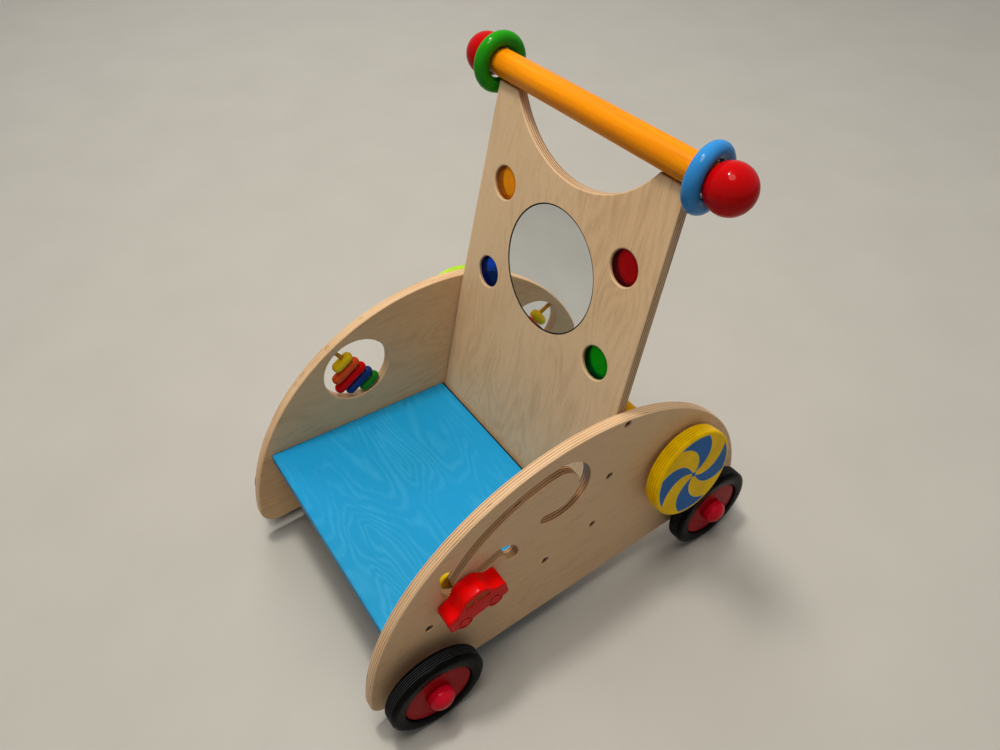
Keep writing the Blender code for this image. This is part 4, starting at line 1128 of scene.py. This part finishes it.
# Socket screws
head = OUT - SCREW_SINK
neck = head - SCREW_HEAD_T
tip = head - SCREW_L
SCREW_EDGE = 0.0005
corners = ((0, head), (SCREW_HEAD_R, head), (SCREW_HEAD_R, neck),
           (SCREW_R, neck), (SCREW_R, tip), (0, tip))
prof = soften(corners, SCREW_EDGE)
socket = ((0, 0), (SCREW_KEY_R, 0), (SCREW_KEY_R, 2 * SCREW_KEY_T), (0, 2 * SCREW_KEY_T))
first = None
for tag, sx in SIDES:
    for i, p in enumerate(SCREWS):
        name = "%s_screw_%d" % (tag, i + 1)
        put = at(0, p.y, p.z) @ facing(sx)
        if first is None:
            first = lathe(name + "_look", prof, 32, put)
            cut(first, [lathe("tool", socket, 6, put @ at(head - SCREW_KEY_T, 0, 0))])
            screw = first
        else:
            screw = bpy.data.objects.new(name + "_look", first.data)
            screw.matrix_world = put
            bpy.context.collection.objects.link(screw)
        wear(screw, BLACK_STEEL, "frame", name, "black_steel")

# Floor and light
FLOOR = 6.0
FLOOR_Z = -0.0002       # just under the tyres
bm = bmesh.new()
bm.faces.new([bm.verts.new((x * FLOOR, y * FLOOR, 0)) for x, y in ((-1, -1), (1, -1), (1, 1), (-1, 1))])
floor = object_from(bm, "floor", at(0, 0, FLOOR_Z))
mat, t, bsdf = new_material("floor", Roughness=0.5)
haze = noise(t, (7.0, 7.0, 7.0), 4.0)
feed(t, bsdf, Base_Color=ramp(t, haze, ((0.3, (0.475, 0.453, 0.403)), (0.7, (0.45, 0.428, 0.38)))))
floor.data.materials.append(mat)

SKY_LIGHT = 0.125       # what the surroundings add to the lamps
BACKDROP = 0.42         # how pale they look behind the object
world = bpy.data.worlds.new("studio")
world.use_nodes = True
t = world.node_tree
sky = t.nodes["Background"]
sky.inputs["Color"].default_value = (0.95, 0.97, 1.0, 1.0)
path = add(t, "LightPath")
seen = calc(t, "MAXIMUM", path.outputs["Is Camera Ray"], path.outputs["Is Glossy Ray"])
seen = calc(t, "MAXIMUM", seen, path.outputs["Is Transmission Ray"])
level = add(t, "MapRange", {0: seen, 3: SKY_LIGHT, 4: BACKDROP}).outputs[0]
t.links.new(level, sky.inputs["Strength"])
bpy.context.scene.world = world


def lamp(name, where, aim, size, power, tint, shine=True):
    """Round lamp; shine tells whether it shows as a highlight."""
    data = bpy.data.lights.new(name, "AREA")
    data.shape = "DISK"
    data.size = size
    data.energy = power
    data.color = tint
    ob = bpy.data.objects.new(name, data)
    ob.location = where
    ob.rotation_euler = (Vector(aim) - Vector(where)).to_track_quat("-Z", "Y").to_euler()
    ob.visible_glossy = shine
    bpy.context.collection.objects.link(ob)


WARM = (1.0, 0.96, 0.90)
NEUTRAL = (1.0, 0.98, 0.95)
lamp("key", (-0.3, -0.12, 2.4), (0, 0, 0.2), 0.28, 21.0, WARM)
lamp("top", (-0.9, -0.2, 6.0), (0, 0, 0), 4.0, 85.0, WARM, False)
lamp("soft", (0.35, -0.3, 2.4), (0, 0, 0.1), 0.9, 15.0, WARM)
lamp("fill", (1.8, -1.6, 1.5), (0, 0, 0.2), 1.6, 1.5, NEUTRAL, False)
lamp("rear", (0.3, 2.2, 1.8), (0, 0, 0.25), 1.4, 7.0, NEUTRAL, False)
lamp("far", (-2.0, 0.6, 2.3), (-1.8, 0.6, 0), 1.4, 28.0, NEUTRAL, False)

# Camera, as solved from the photograph
EYE = (0.4814, -0.3032, 0.8109)
FOCAL = 27.233          # mm on a sensor 36 mm wide
AZ, EL, ROLL = (math.radians(a) for a in (56.811, 44.572, -2.243))
back_axis = Vector((math.sin(AZ) * math.cos(EL), -math.cos(AZ) * math.cos(EL), math.sin(EL)))
right = Vector((0, 0, 1)).cross(back_axis).normalized()
up = back_axis.cross(right)
right, up = (math.cos(ROLL) * right + math.sin(ROLL) * up, -math.sin(ROLL) * right + math.cos(ROLL) * up)
optics = bpy.data.cameras.new("camera")
optics.sensor_fit = "HORIZONTAL"
optics.sensor_width = 36.0
optics.lens = FOCAL
camera = bpy.data.objects.new("camera", optics)
camera.matrix_world = at(*EYE) @ Matrix((right, up, back_axis)).transposed().to_4x4()
bpy.context.collection.objects.link(camera)
bpy.context.scene.camera = camera
bpy.context.scene.view_settings.view_transform = "Standard"
